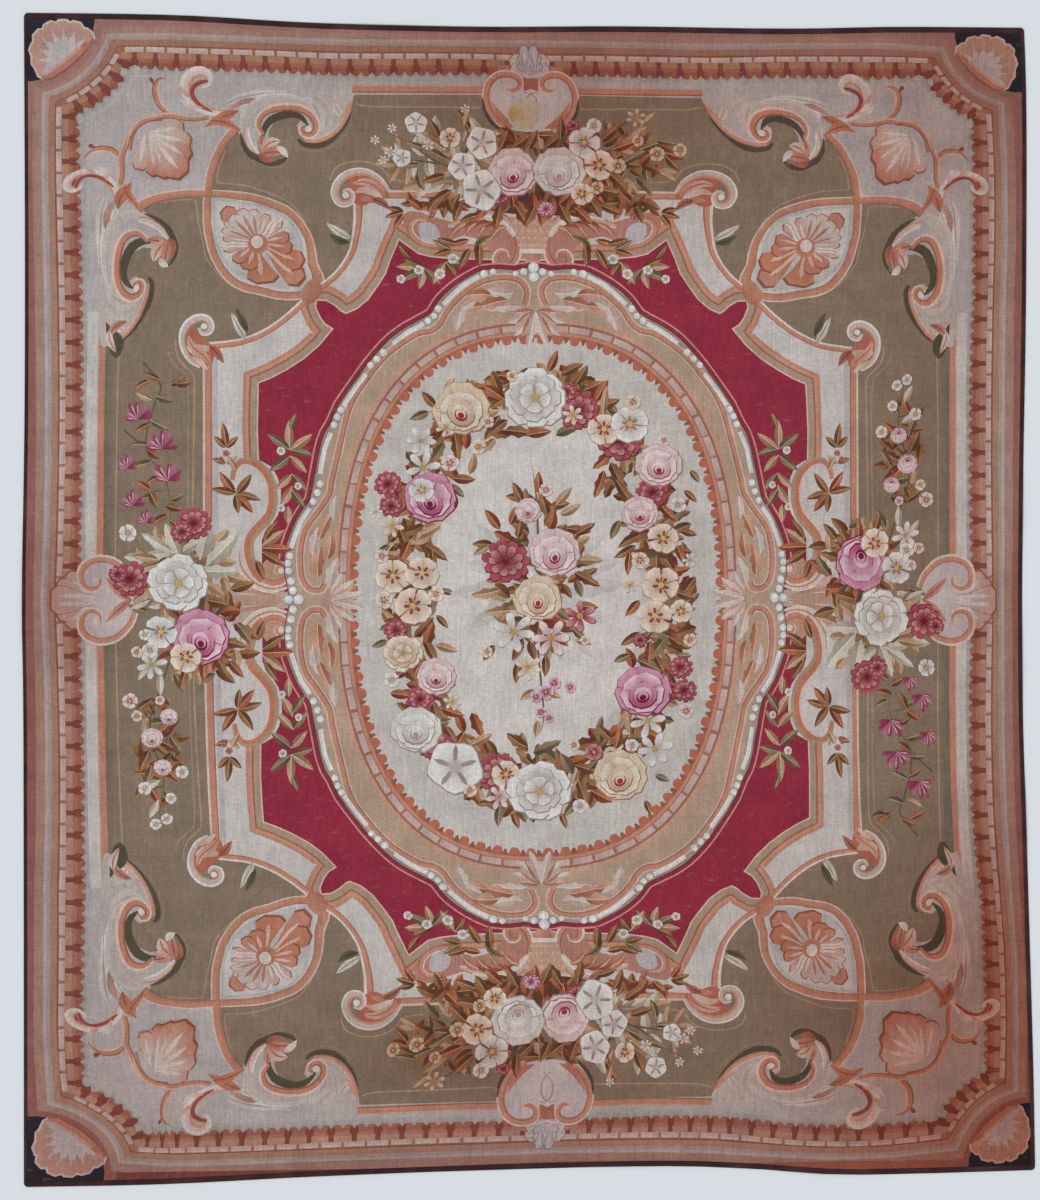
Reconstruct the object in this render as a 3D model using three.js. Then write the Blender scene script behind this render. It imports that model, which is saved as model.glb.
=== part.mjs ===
// Aubusson rug: one flat tapestry-woven wool sheet, edged with a dark woven tape that is sewn on in
// five lengths. It lies on the floor, right side up: +X is the pattern's right, +Y its top.
import * as THREE from "three";

// Driving dimensions, in millimetres. The warps lie 3.05 mm apart, and the uneven outline is given
// in warps, counted from the middle of the rug.
const WARP = 3.05;
const SHEET_THICKNESS = 3.0;
const TAPE_THICKNESS = 3.4;
const SEAM_GAP = 0.3;
const CORNER_RADIUS = 12;
const SHEET_COLUMNS = 30;
const SHEET_ROWS = 34;
const CORNER_STEPS = 4;

// The four outer corners of the rug, in warps.
const CORNERS = {
  topLeft: { x: -504, y: 587 },
  topRight: { x: 496, y: 572 },
  bottomRight: { x: 507, y: -570 },
  bottomLeft: { x: -504, y: -587 },
};

// How far each edge strays outwards from the straight line between its corners, in warps, at shares
// of its length, and how wide its tape is, in millimetres.
const EDGES = {
  top: {
    start: "topLeft",
    end: "topRight",
    tapeWidth: 17,
    strays: [
      { at: 0, out: 0 },
      { at: 0.15, out: 0 },
      { at: 0.3, out: -6 },
      { at: 0.46, out: -7 },
      { at: 0.6, out: -4.5 },
      { at: 0.76, out: -4.5 },
      { at: 0.87, out: -1 },
      { at: 1, out: 0 },
    ],
  },
  bottom: {
    start: "bottomLeft",
    end: "bottomRight",
    tapeWidth: 17,
    strays: [
      { at: 0, out: 0 },
      { at: 0.14, out: -0.5 },
      { at: 0.3, out: -6 },
      { at: 0.45, out: -9 },
      { at: 0.62, out: -10.5 },
      { at: 0.72, out: -6 },
      { at: 0.82, out: 1.5 },
      { at: 1, out: 0 },
    ],
  },
  left: {
    start: "topLeft",
    end: "bottomLeft",
    tapeWidth: 11,
    strays: [
      { at: 0, out: 0 },
      { at: 0.2, out: -1 },
      { at: 0.35, out: -0.5 },
      { at: 0.5, out: 2 },
      { at: 0.62, out: 0.5 },
      { at: 1, out: 0 },
    ],
  },
  right: {
    start: "topRight",
    end: "bottomRight",
    tapeWidth: 13,
    strays: [
      { at: 0, out: 0 },
      { at: 0.08, out: 1.5 },
      { at: 0.25, out: -1 },
      { at: 0.42, out: -6 },
      { at: 0.58, out: -8 },
      { at: 0.72, out: -5 },
      { at: 0.9, out: -1 },
      { at: 1, out: 0 },
    ],
  },
};

// Where two lengths of the top tape meet, as a share of the top edge.
const TOP_JOINT_AT = 0.512;

// Soft rises where the cloth doesn't lie quite flat, in warps from the middle: a height in
// millimetres that falls to nothing at the edge of an ellipse.
const RISES = [
  { x: -322, y: 430, halfWidth: 34, halfLength: 230, height: 2.2 },
  { x: 252, y: 420, halfWidth: 34, halfLength: 260, height: 2.4 },
  { x: 494, y: 90, halfWidth: 90, halfLength: 60, height: 3.2 },
  { x: 498, y: -60, halfWidth: 100, halfLength: 64, height: 3.6 },
  { x: 500, y: -210, halfWidth: 90, halfLength: 60, height: 3.0 },
  { x: 110, y: -560, halfWidth: 70, halfLength: 100, height: 3.4 },
  { x: 300, y: -556, halfWidth: 74, halfLength: 96, height: 3.0 },
  { x: -150, y: 560, halfWidth: 90, halfLength: 90, height: 2.6 },
  { x: -500, y: 10, halfWidth: 80, halfLength: 90, height: 2.8 },
  { x: -180, y: -540, halfWidth: 90, halfLength: 90, height: 2.4 },
];

const COLOURS = { wool: 0xa07f6c, edging: 0x35201f };

// A smooth bump of one at the middle of an ellipse, with no height and no slope at its rim.
function riseShape(distanceSquared) {
  const inside = Math.max(0, 1 - distanceSquared);
  return inside * inside;
}

// The height of the cloth's underside above the floor at a point in millimetres.
function liftAt(x, y) {
  let lift = 0;
  for (const rise of RISES) {
    const across = (x / WARP - rise.x) / rise.halfWidth;
    const along = (y / WARP - rise.y) / rise.halfLength;
    lift = Math.max(lift, rise.height * riseShape(across * across + along * along));
  }
  return lift;
}

// One outer edge of the rug as a smooth curve through its strays, in millimetres.
function outerEdge(edge) {
  const start = new THREE.Vector2(CORNERS[edge.start].x, CORNERS[edge.start].y);
  const end = new THREE.Vector2(CORNERS[edge.end].x, CORNERS[edge.end].y);
  const outwards = outwardsOf(edge);
  const points = edge.strays.map(({ at, out }) =>
    start.clone().lerp(end, at).addScaledVector(outwards, out).multiplyScalar(WARP),
  );
  const curve = new THREE.SplineCurve(points);
  // The curve's parameter runs evenly over its points, so a share of the length is looked up first.
  const shares = edge.strays.map(({ at }) => at);
  return (share) => {
    const next = Math.max(1, shares.findIndex((at) => at >= share - 1e-9));
    const between = (share - shares[next - 1]) / (shares[next] - shares[next - 1]);
    return curve.getPoint((next - 1 + between) / (shares.length - 1));
  };
}

// The direction that points away from the rug across an edge.
function outwardsOf(edge) {
  const away = { top: [0, 1], bottom: [0, -1], left: [-1, 0], right: [1, 0] };
  const name = Object.keys(EDGES).find((key) => EDGES[key] === edge);
  return new THREE.Vector2(...away[name]);
}

// How far the sheet's edge lies inside the outer edge: the tape's width and the seam.
const insetOf = (name) => EDGES[name].tapeWidth + SEAM_GAP;

// The points of the sheet's own edge, at its grid lines, from one inset corner to the other.
function sheetEdgePoints(name, steps, startInset, endInset) {
  const outer = outerEdge(EDGES[name]);
  const inwards = outwardsOf(EDGES[name]).negate();
  const length = outer(0).distanceTo(outer(1));
  const points = [];
  for (let step = 0; step <= steps; step++) {
    const share = THREE.MathUtils.lerp(startInset / length, 1 - endInset / length, step / steps);
    points.push(outer(share).addScaledVector(inwards, insetOf(name)));
  }
  return points;
}

const edgePoints = {
  top: sheetEdgePoints("top", SHEET_COLUMNS, insetOf("left"), insetOf("right")),
  bottom: sheetEdgePoints("bottom", SHEET_COLUMNS, insetOf("left"), insetOf("right")),
  left: sheetEdgePoints("left", SHEET_ROWS, insetOf("top"), insetOf("bottom")),
  right: sheetEdgePoints("right", SHEET_ROWS, insetOf("top"), insetOf("bottom")),
};

// Two edges meet in one corner, with x from the side edge and y from the top or bottom edge.
for (const [level, sideEnd] of [["top", 0], ["bottom", SHEET_ROWS]]) {
  for (const [side, levelEnd] of [["left", 0], ["right", SHEET_COLUMNS]]) {
    edgePoints[level][levelEnd].x = edgePoints[side][sideEnd].x;
    edgePoints[side][sideEnd].y = edgePoints[level][levelEnd].y;
  }
}

// The sheet's edge is straight between its grid lines, so that a tape can follow it exactly. Shares
// of a side below 0 and above 1 carry on straight up and down, past the sheet's corners.
function alongPoints(points) {
  const steps = points.length - 1;
  const height = points[0].y - points[steps].y;
  return (share) => {
    const within = THREE.MathUtils.clamp(share, 0, 1);
    const step = Math.min(Math.floor(within * steps), steps - 1);
    const point = new THREE.Vector2().lerpVectors(points[step], points[step + 1], within * steps - step);
    point.y += (within - share) * height;
    return point;
  };
}

const sheetEdges = Object.fromEntries(
  Object.entries(edgePoints).map(([name, points]) => [name, alongPoints(points)]),
);

// A point of the sheet, from shares across and down it: the patch that blends its four edges.
function sheetPoint(across, down) {
  const { top, bottom, left, right } = sheetEdges;
  const between = top(across).lerp(bottom(across), down);
  const sides = left(down).lerp(right(down), across);
  const upper = top(0).lerp(top(1), across);
  const lower = bottom(0).lerp(bottom(1), across);
  return between.add(sides).sub(upper.lerp(lower, down));
}

// A closed slab over a grid: place gives the point for a pair of grid shares.
function slab(columns, rows, thickness, place) {
  const geometry = new THREE.BoxGeometry(1, 1, 1, columns, rows, 1);
  const position = geometry.getAttribute("position");
  for (let i = 0; i < position.count; i++) {
    const point = place(position.getX(i) + 0.5, 0.5 - position.getY(i));
    const above = position.getZ(i) > 0 ? thickness : 0;
    position.setXYZ(i, point.x, point.y, liftAt(point.x, point.y) + above);
  }
  geometry.computeVertexNormals();
  return geometry;
}

// How far the tape's outer edge draws in at a distance from its rounded end.
function roundingAt(distance) {
  const into = CORNER_RADIUS - distance;
  return into <= 0 ? 0 : CORNER_RADIUS - Math.sqrt(CORNER_RADIUS ** 2 - into ** 2);
}

// The shares at which a tape has its cross-sections: its ends, every grid line of the sheet between
// them, and the steps of each rounded corner.
function tapeShares(from, to, gridSteps, edgeLength, rounded) {
  const shares = new Set([from, to]);
  const roundShare = CORNER_RADIUS / edgeLength;
  if (rounded) {
    for (let step = 1; step <= CORNER_STEPS; step++) {
      const into = roundShare * (1 - Math.cos((step / CORNER_STEPS) * (Math.PI / 2)));
      shares.add(from + into);
      shares.add(to - into);
    }
  }
  const clear = rounded ? roundShare * 1.2 : 0;
  for (let line = 0; line <= gridSteps; line++) {
    const share = line / gridSteps;
    if (share > from + clear && share < to - clear) shares.add(share);
  }
  return [...shares].sort((a, b) => a - b);
}

// A length of edging tape beside one edge of the sheet, between two shares of that edge. turned is
// true where the edge runs the other way round the rug, so that the slab still faces up.
function tape({ edgeName, gridSteps, from, to, rounded, turned }) {
  const edge = EDGES[edgeName];
  const inner = sheetEdges[edgeName];
  const outwards = outwardsOf(edge);
  const edgeLength = inner(0).distanceTo(inner(1));
  const shares = tapeShares(from, to, gridSteps, edgeLength, rounded);
  const last = shares.length - 1;
  return slab(last, 1, TAPE_THICKNESS, (along, across) => {
    const share = shares[Math.round(along * last)];
    const isOuter = turned ? across > 0.5 : across < 0.5;
    const toEnd = Math.min(share - from, to - share) * edgeLength;
    const drawnIn = rounded ? roundingAt(toEnd) : 0;
    const outer = SEAM_GAP + edge.tapeWidth - drawnIn;
    return inner(share).addScaledVector(outwards, isOuter ? outer : SEAM_GAP);
  });
}

// How far past the sheet's end a side tape runs, as a share of the side: it covers the corner.
const pastEnd = (name, sideName) => {
  const side = sheetEdges[sideName];
  return insetOf(name) / side(0).distanceTo(side(1));
};

const sideTape = (edgeName, turned) => ({
  edgeName,
  gridSteps: SHEET_ROWS,
  from: -pastEnd("top", edgeName),
  to: 1 + pastEnd("bottom", edgeName),
  rounded: true,
  turned,
});

const jointHalfGap = SEAM_GAP / 2 / sheetEdges.top(0).distanceTo(sheetEdges.top(1));
const TAPES = {
  edging_left: sideTape("left", true),
  edging_right: sideTape("right", false),
  edging_top_left: {
    edgeName: "top", gridSteps: SHEET_COLUMNS, from: 0, to: TOP_JOINT_AT - jointHalfGap,
    rounded: false, turned: false,
  },
  edging_top_right: {
    edgeName: "top", gridSteps: SHEET_COLUMNS, from: TOP_JOINT_AT + jointHalfGap, to: 1,
    rounded: false, turned: false,
  },
  edging_bottom: {
    edgeName: "bottom", gridSteps: SHEET_COLUMNS, from: 0, to: 1, rounded: false, turned: true,
  },
};

function named(name, geometry, colour) {
  const material = new THREE.MeshStandardMaterial({ color: colour, roughness: 0.95, metalness: 0 });
  const mesh = new THREE.Mesh(geometry, material);
  mesh.name = name;
  return mesh;
}

const rug = new THREE.Group();
rug.add(named("tapestry", slab(SHEET_COLUMNS, SHEET_ROWS, SHEET_THICKNESS, sheetPoint), COLOURS.wool));
for (const [name, length] of Object.entries(TAPES)) {
  rug.add(named(name, tape(length), COLOURS.edging));
}

// The origin is under the middle of the rug's box.
const box = new THREE.Box3().setFromObject(rug);
const middle = box.getCenter(new THREE.Vector3());
rug.position.set(-middle.x, -middle.y, -box.min.z);

export default rug;
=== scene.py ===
"""A room-size rug in flat tapestry weave, lying on a pale floor and seen straight from above.

The weaver's cartoon is drawn on a grid of warps: the column counts warps from the left and the row
counts from the top. Every leaf, petal and band is a flat patch of dyed wool with a smooth outline.
The stack of patches is worked into one sheet, as a tapestry's colours are all one cloth.
"""

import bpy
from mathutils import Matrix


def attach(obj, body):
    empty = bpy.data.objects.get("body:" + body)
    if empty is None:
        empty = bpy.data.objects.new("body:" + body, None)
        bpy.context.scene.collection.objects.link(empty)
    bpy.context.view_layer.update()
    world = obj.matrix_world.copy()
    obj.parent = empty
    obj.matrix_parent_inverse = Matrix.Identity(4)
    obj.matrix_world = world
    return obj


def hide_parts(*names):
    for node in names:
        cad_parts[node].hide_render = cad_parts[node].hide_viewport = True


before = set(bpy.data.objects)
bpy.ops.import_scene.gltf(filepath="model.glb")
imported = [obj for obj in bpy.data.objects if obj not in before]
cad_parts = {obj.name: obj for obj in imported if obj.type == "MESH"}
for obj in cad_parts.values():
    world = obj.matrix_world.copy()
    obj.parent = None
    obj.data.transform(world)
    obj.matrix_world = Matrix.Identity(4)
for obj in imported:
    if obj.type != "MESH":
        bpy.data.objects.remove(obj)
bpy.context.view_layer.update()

import logging
import math
from dataclasses import dataclass, field
from enum import Enum
from typing import Callable, Protocol, Sequence

import bpy
import numpy as np
from mathutils import Vector
from mathutils.geometry import delaunay_2d_cdt

log = logging.getLogger("rug")

Curve = np.ndarray
Place = Callable[[Curve], Curve]
Side = tuple[Curve, np.ndarray, np.ndarray]  # points, triangles, and the patch on each triangle

WARP = 0.00305  # metres from one warp to the next
CARTOON_MIDDLE = np.array([528.0, 600.0])  # the rug's middle on the cartoon, column and row
BOX_MIDDLE = np.array([0.475, 0.04]) * WARP  # how far the rug's box is off the cartoon's middle
DESIGN_MIDDLE = np.array([538.0, 600.0])  # the medallion's middle, a little right of the rug's
SHEET_THICKNESS = 0.003
TAPE_THICKNESS = 0.0034


class Wool(Enum):
    """The dyed wools, each by its faded colour on the face."""

    NIGHT = "2b2631"
    DASH = "b5a09a"
    CHALK = "aca5a3"
    CHALK_SHADE = "9c9893"
    SNOW = "beb6b2"
    OLIVE = "82705f"
    MOSS = "524a3b"
    LINE = "a48573"
    RUST = "b37f6b"
    RUST_DEEP = "97604e"
    BLUSH = "cbb0a5"
    CRIMSON = "8d2a3e"
    SAND = "a18a74"
    PEARL = "c8c6c3"
    PEARL_SHADE = "85827e"


def linear(code: str) -> np.ndarray:
    """The linear colour of a six-figure sRGB code."""
    srgb = np.array([int(code[i : i + 2], 16) for i in (0, 2, 4)]) / 255.0
    return np.where(srgb <= 0.04045, srgb / 12.92, ((srgb + 0.055) / 1.055) ** 2.4)


@dataclass(frozen=True)
class Skein:
    """The tones of one flower or leaf, from its shadow to its lit rim."""

    dark: str
    mid: str
    light: str
    rim: str
    heart: str = "7a2438"


WHITE = Skein("94867f", "b3a9a3", "cdc7c2", "d9d5d1", "a98a88")
CREAM = Skein("96765e", "b89b82", "d0bca5", "dccfc1", "96303c")
SHELL = Skein("95676c", "b88f93", "d0bcba", "ddd1cd", "8c2c46")
ROSY = Skein("7d2746", "a25272", "c690a4", "d9bcc6", "6d1a36")
RUBY = Skein("641a2a", "8c2c40", "ad5560", "c28c88", "5a1424")
LEAF_BROWN = Skein("4c2e20", "794d34", "9d7350", "b3906d")
LEAF_RUST = Skein("5a2a1f", "8b4832", "b07653", "c29a76")
LEAF_TAN = Skein("7a5a42", "a17d5f", "be9f84", "cdb9a4")
LEAF_MOSS = Skein("483d2e", "715e46", "978165", "ad9d84")
LEAF_PALE = Skein("8b8272", "b0a695", "cbc3b5", "d8d3c9")
GHOST = Skein("b5aea9", "bcb6b1", "c3bdb8", "c8c2be")
LILY = Skein("742340", "96405c", "ab6f84", "c5a3ab", "5f2035")
FOLIAGE = (LEAF_BROWN, LEAF_RUST, LEAF_TAN, LEAF_BROWN, LEAF_MOSS)
PALE_FOLIAGE = (LEAF_PALE, LEAF_TAN, LEAF_MOSS, LEAF_PALE, LEAF_TAN)
DARK_FOLIAGE = (LEAF_BROWN, LEAF_RUST)


def points(*flat: float) -> Curve:
    """A curve's points from a flat run of columns and rows."""
    return np.array(flat, float).reshape(-1, 2)


def smooth(path: Curve, closed: bool = False, steps: int = 5) -> Curve:
    """A Catmull-Rom curve through the points.

    Between two points p and q, with neighbours o and r, it is the cubic that leaves p along
    (q - o) / 2 and reaches q along (r - p) / 2.

    Args:
        path: the points that the curve runs through.
        closed: whether the last point joins the first.
        steps: how many straight steps stand for each stretch.

    Returns:
        The curve's points, without a repeat of the first one where it is closed.
    """
    if closed:
        o, p, q, r = (np.roll(path, shift, axis=0) for shift in (1, 0, -1, -2))
    else:
        ends = np.vstack([2 * path[0] - path[1], path, 2 * path[-1] - path[-2]])
        o, p, q, r = ends[:-3], ends[1:-2], ends[2:-1], ends[3:]
    t = (np.arange(steps) / steps)[None, :, None]
    o, p, q, r = (each[:, None, :] for each in (o, p, q, r))
    curve = p + 0.5 * t * (q - o + t * (2 * o - 5 * p + 4 * q - r + t * (3 * (p - q) + r - o)))
    curve = curve.reshape(-1, 2)
    return curve if closed else np.vstack([curve, path[-1:]])


def blob(*flat: float) -> Curve:
    """A closed smooth outline through a flat run of columns and rows."""
    return smooth(points(*flat), closed=True, steps=2)


def area_of(outline: Curve) -> float:
    """The area inside an outline, by the sum of its corners' cross products."""
    x, y = outline.T
    return 0.5 * abs(float((x * np.roll(y, -1) - y * np.roll(x, -1)).sum()))


def sideways(path: Curve) -> Curve:
    """Unit vectors square to the path, to the left of its run as drawn with rows downwards."""
    along = np.gradient(path, axis=0)
    along /= np.maximum(np.linalg.norm(along, axis=1, keepdims=True), 1e-9)
    return np.column_stack([along[:, 1], -along[:, 0]])


def band(path: Curve, left: float | Curve, right: float | Curve) -> Curve:
    """The outline of the band that lies between two offsets of a path.

    Args:
        path: the line that the band follows.
        left: its one edge's distance from the path, one number or one for each point.
        right: its other edge's distance.

    Returns:
        The closed outline, up one edge and back down the other.
    """
    across = sideways(path)
    one = path + across * np.broadcast_to(left, len(path))[:, None]
    other = path + across * np.broadcast_to(right, len(path))[:, None]
    return np.vstack([one, other[::-1]])


def swell(count: int, start: float, middle: float, end: float) -> Curve:
    """Widths along a path: a parabola through its start, middle and end values."""
    t = np.linspace(0.0, 1.0, count)
    return start * (1 - t) * (1 - 2 * t) + 4 * middle * t * (1 - t) + end * t * (2 * t - 1)


def ring(centre: Sequence[float], wide: float, tall: float, count: int = 16, turn: float = 0.0) -> Curve:
    """An ellipse about a centre, turned by an angle in degrees."""
    angle = np.linspace(0.0, 2 * math.pi, count, endpoint=False)
    shape = np.column_stack([wide * np.cos(angle), tall * np.sin(angle)])
    return np.asarray(centre, float) + shape @ rotation(turn)


def rotation(degrees: float) -> np.ndarray:
    """The matrix that turns row vectors clockwise as drawn, rows downwards."""
    c, s = math.cos(math.radians(degrees)), math.sin(math.radians(degrees))
    return np.array([[c, s], [-s, c]])


def coil(centre: Sequence[float], radius: float, start: float, turns: float, end: float = 0.25) -> Curve:
    """A spiral that winds in: radius falls evenly with the angle, from radius to end x radius."""
    count = max(8, int(abs(turns) * 18))
    t = np.linspace(0.0, 1.0, count)
    angle = math.radians(start) + 2 * math.pi * turns * t
    reach = radius * (1 - (1 - end) * t)
    return np.asarray(centre, float) + np.column_stack([reach * np.cos(angle), reach * np.sin(angle)])


def petal(base: Curve, heading: float, length: float, width: float, full: float = 0.6,
          notch: float = 0.0, count: int = 11) -> Curve:
    """A petal or leaf blade: x = length (1 - cos a) / 2, y = width / 2 sin a (x / length)^full.

    Args:
        base: where it grows from.
        heading: its direction in degrees, clockwise from the right as drawn.
        length: from base to tip.
        width: its whole breadth.
        full: how far towards the tip it is broadest.
        notch: how deep its tip is cut in, as a share of the length.
        count: how many points outline it.

    Returns:
        The closed outline.
    """
    angle = np.linspace(0.0, 2 * math.pi, count, endpoint=False)
    share = (1 - np.cos(angle)) / 2
    y = 0.5 * width * np.sin(angle) * share**full * (1 + full * 0.55)
    x = length * (share - notch * np.exp(-((y / (0.22 * width)) ** 2)) * share**4)
    return np.asarray(base, float) + np.column_stack([x, y]) @ rotation(heading)


class Drift:
    """A thin-plate map that carries one set of points exactly onto another.

    Each coordinate is a plane plus a weighted sum of r squared log r about every origin point.
    """

    def __init__(self, origin: Curve, target: Curve) -> None:
        """Solves for the weights and the plane."""
        self.origin = origin
        count = len(origin)
        system = np.zeros((count + 3, count + 3))
        system[:count, :count] = self.kernel(origin)
        system[:count, count:] = np.column_stack([np.ones(count), origin])
        system[count:, :count] = system[:count, count:].T
        self.weights = np.linalg.solve(system, np.vstack([target - origin, np.zeros((3, 2))]))

    def kernel(self, where: Curve) -> np.ndarray:
        """r squared log r from each point to each origin point."""
        gap = ((where[:, None, :] - self.origin[None, :, :]) ** 2).sum(2)
        return 0.5 * gap * np.log(np.maximum(gap, 1e-9))

    def __call__(self, where: Curve) -> Curve:
        """The points carried over."""
        plane = np.column_stack([np.ones(len(where)), where])
        return where + np.hstack([self.kernel(where), plane]) @ self.weights


# Where points of the squared-up design lie on the real cloth, which tension has drawn out of true.
# Each row has the design's point in its top left quarter and then the cloth's in all four quarters:
# top left, top right, bottom right, bottom left.
LANDMARKS = {
    "corner": ((24, 17), (24, 13), (1024, 28), (1035, 1170), (24, 1187)),
    "shell": ((60, 47), (60, 47), (987, 62), (1002, 1135), (68, 1148)),
    "teeth_turn_top": ((132, 70), (132, 67), (922, 77), (935, 1120), (146, 1133)),
    "teeth_turn_side": ((81, 122), (78, 120), (972, 125), (985, 1067), (84, 1080)),
    "crossing": ((203, 190), (206, 192), (859, 199), (863, 999), (214, 1005)),
    "rosette": ((258, 243), (258, 243), (805, 247), (811, 949), (266, 957)),
    "knot": ((320, 290), (313, 292), (750, 293), (764, 906), (318, 902)),
    "top_scroll": ((310, 130), (310, 130), (760, 134), (769, 1065), (318, 1068)),
    "side_scroll": ((137, 290), (137, 290), (920, 297), (928, 901), (142, 910)),
    "fan": ((165, 152), (165, 152), (897, 155), (909, 1040), (170, 1050)),
    "side_volute": ((204, 326), (204, 326), (857, 332), (863, 868), (214, 875)),
    "top_volute": ((355, 190), (345, 194), (722, 196), (729, 998), (356, 1004)),
    "field_corner": ((259, 384), (260, 384), (804, 385), (808, 817), (265, 821)),
    "lilac_far": ((178, 39.3), (175, 37), (874, 46), (883, 1155), (176, 1163)),
    "lilac_near": ((332, 39.3), (324, 42.3), (725, 47.5), (734, 1151), (327, 1158)),
    "lilac_middle": ((538, 39.3), (528, 44), None, (543, 1150), None),
    "teeth_far": ((178, 70), (175, 69), (874, 78), (883, 1125), (176, 1133)),
    "teeth_near": ((332, 70), (325, 74), (725, 78), (734, 1118), (327, 1127)),
    "teeth_middle": ((538, 70), (531, 77), None, (547, 1121), None),
    "stripe_middle": ((538, 92), (531, 93), None, (547, 1102), None),
    "side_edge": ((24, 600), (24, 600), (1022, 600), None, None),
    "side_quarter": ((24, 300), (24, 300), (1025, 300), (1031, 900), (24, 900)),
    "side_lilac": ((48, 600), (44, 600), (1001, 600), None, None),
    "side_lilac_quarter": ((48, 300), (48, 300), (1002, 300), (1009, 900), (46.5, 900)),
    "side_teeth": ((81, 600), (80, 600), (974, 600), None, None),
    "side_teeth_quarter": ((81, 300), (81, 300), (974, 300), (982, 900), (84, 900)),
    "side_stripe": ((100, 600), (98.5, 600), (954, 600), None, None),
    "side_stripe_quarter": ((100, 350), (100.5, 350), (954, 350), (958, 850), (103, 850)),
    "pearl_top": ((538, 271), (533, 271), None, (543.5, 921), None),
    "pearl_side": ((292, 600), (292, 600), (780, 598), None, None),
    "oval": ((460, 360), (460, 360), (616, 360), (618, 839), (460, 839)),
}


def mirrored(where: Curve, across: bool, down: bool) -> Curve:
    """Points of the squared-up design turned over about its upright or level middle line."""
    flip = np.array([-1.0 if across else 1.0, -1.0 if down else 1.0])
    return DESIGN_MIDDLE + (where - DESIGN_MIDDLE) * flip


def landmark_drift() -> tuple[Drift, Drift]:
    """The drift from the squared-up design to the cloth, and the one back."""
    quarters = ((False, False), (True, False), (True, True), (False, True))
    square, cloth = [], []
    for design, *places in LANDMARKS.values():
        for place, (across, down) in zip(places, quarters):
            if place is not None:
                square.append(mirrored(np.array([design], float), across, down)[0])
                cloth.append(place)
    return Drift(np.array(square), np.array(cloth, float)), Drift(np.array(cloth, float), np.array(square))


TO_CLOTH, TO_SQUARE = landmark_drift()

# The spandrel's upper half lies on its lower half when it is turned over about the corner's diagonal.
DIAGONAL_PAIRS = np.array([
    ((310, 130), (137, 290)), ((273, 150), (164, 255)), ((195, 90), (85, 178)), ((155, 78), (88, 150)),
    ((132, 67), (78, 120)), ((206, 192), (206, 192)), ((258, 243), (258, 243)), ((313, 292), (313, 292)),
    ((165, 152), (165, 152)), ((345, 108), (116, 336)), ((238, 120), (129, 208)), ((352, 92), (101, 345)),
    ((211, 250), (285, 208)), ((250, 289), (312, 256)),
], float)
BOTH_WAYS = np.unique(np.vstack([DIAGONAL_PAIRS, DIAGONAL_PAIRS[:, ::-1]]), axis=0)
OVER_DIAGONAL = Drift(BOTH_WAYS[:, 0], BOTH_WAYS[:, 1])


def quarter(across: bool, down: bool) -> Place:
    """The place of a shape that is drawn on the cloth's top left quarter, in another quarter."""
    if not across and not down:
        return lambda where: where
    return lambda where: TO_CLOTH(mirrored(TO_SQUARE(where), across, down))


HERE: tuple[Place, ...] = (quarter(False, False),)
TURNED: tuple[Place, ...] = (quarter(False, False), quarter(True, True))
FOUR: tuple[Place, ...] = tuple(quarter(a, d) for a in (False, True) for d in (False, True))
EIGHT: tuple[Place, ...] = FOUR + tuple((lambda p, one=one: one(OVER_DIAGONAL(p))) for one in FOUR)
SQUARE: tuple[Place, ...] = (TO_CLOTH,)


@dataclass
class Cartoon:
    """The stack of patches, in the order in which they are laid over each other."""

    outlines: list[Curve] = field(default_factory=list)
    axes: list[Curve] = field(default_factory=list)
    colours: list[np.ndarray] = field(default_factory=list)
    rounds: list[bool] = field(default_factory=list)
    places: dict[int, Place] = field(default_factory=dict)
    place_of: list[int] = field(default_factory=list)

    def settle(self) -> None:
        """Carries all the patches of one place over in one go."""
        which = np.array(self.place_of)
        for key, place in self.places.items():
            chosen = np.flatnonzero(which == key)
            parts = [part for i in chosen for part in (self.outlines[i], self.axes[i])]
            ends = np.cumsum([len(part) for part in parts])
            moved = np.split(place(np.vstack(parts)), ends[:-1])
            for i, outline, axis in zip(chosen, moved[::2], moved[1::2]):
                self.outlines[i], self.axes[i] = outline, axis


class Motif(Protocol):
    """A part of the design."""

    def draw(self) -> None:
        """Lays the part's patches on the cartoon."""


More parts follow.
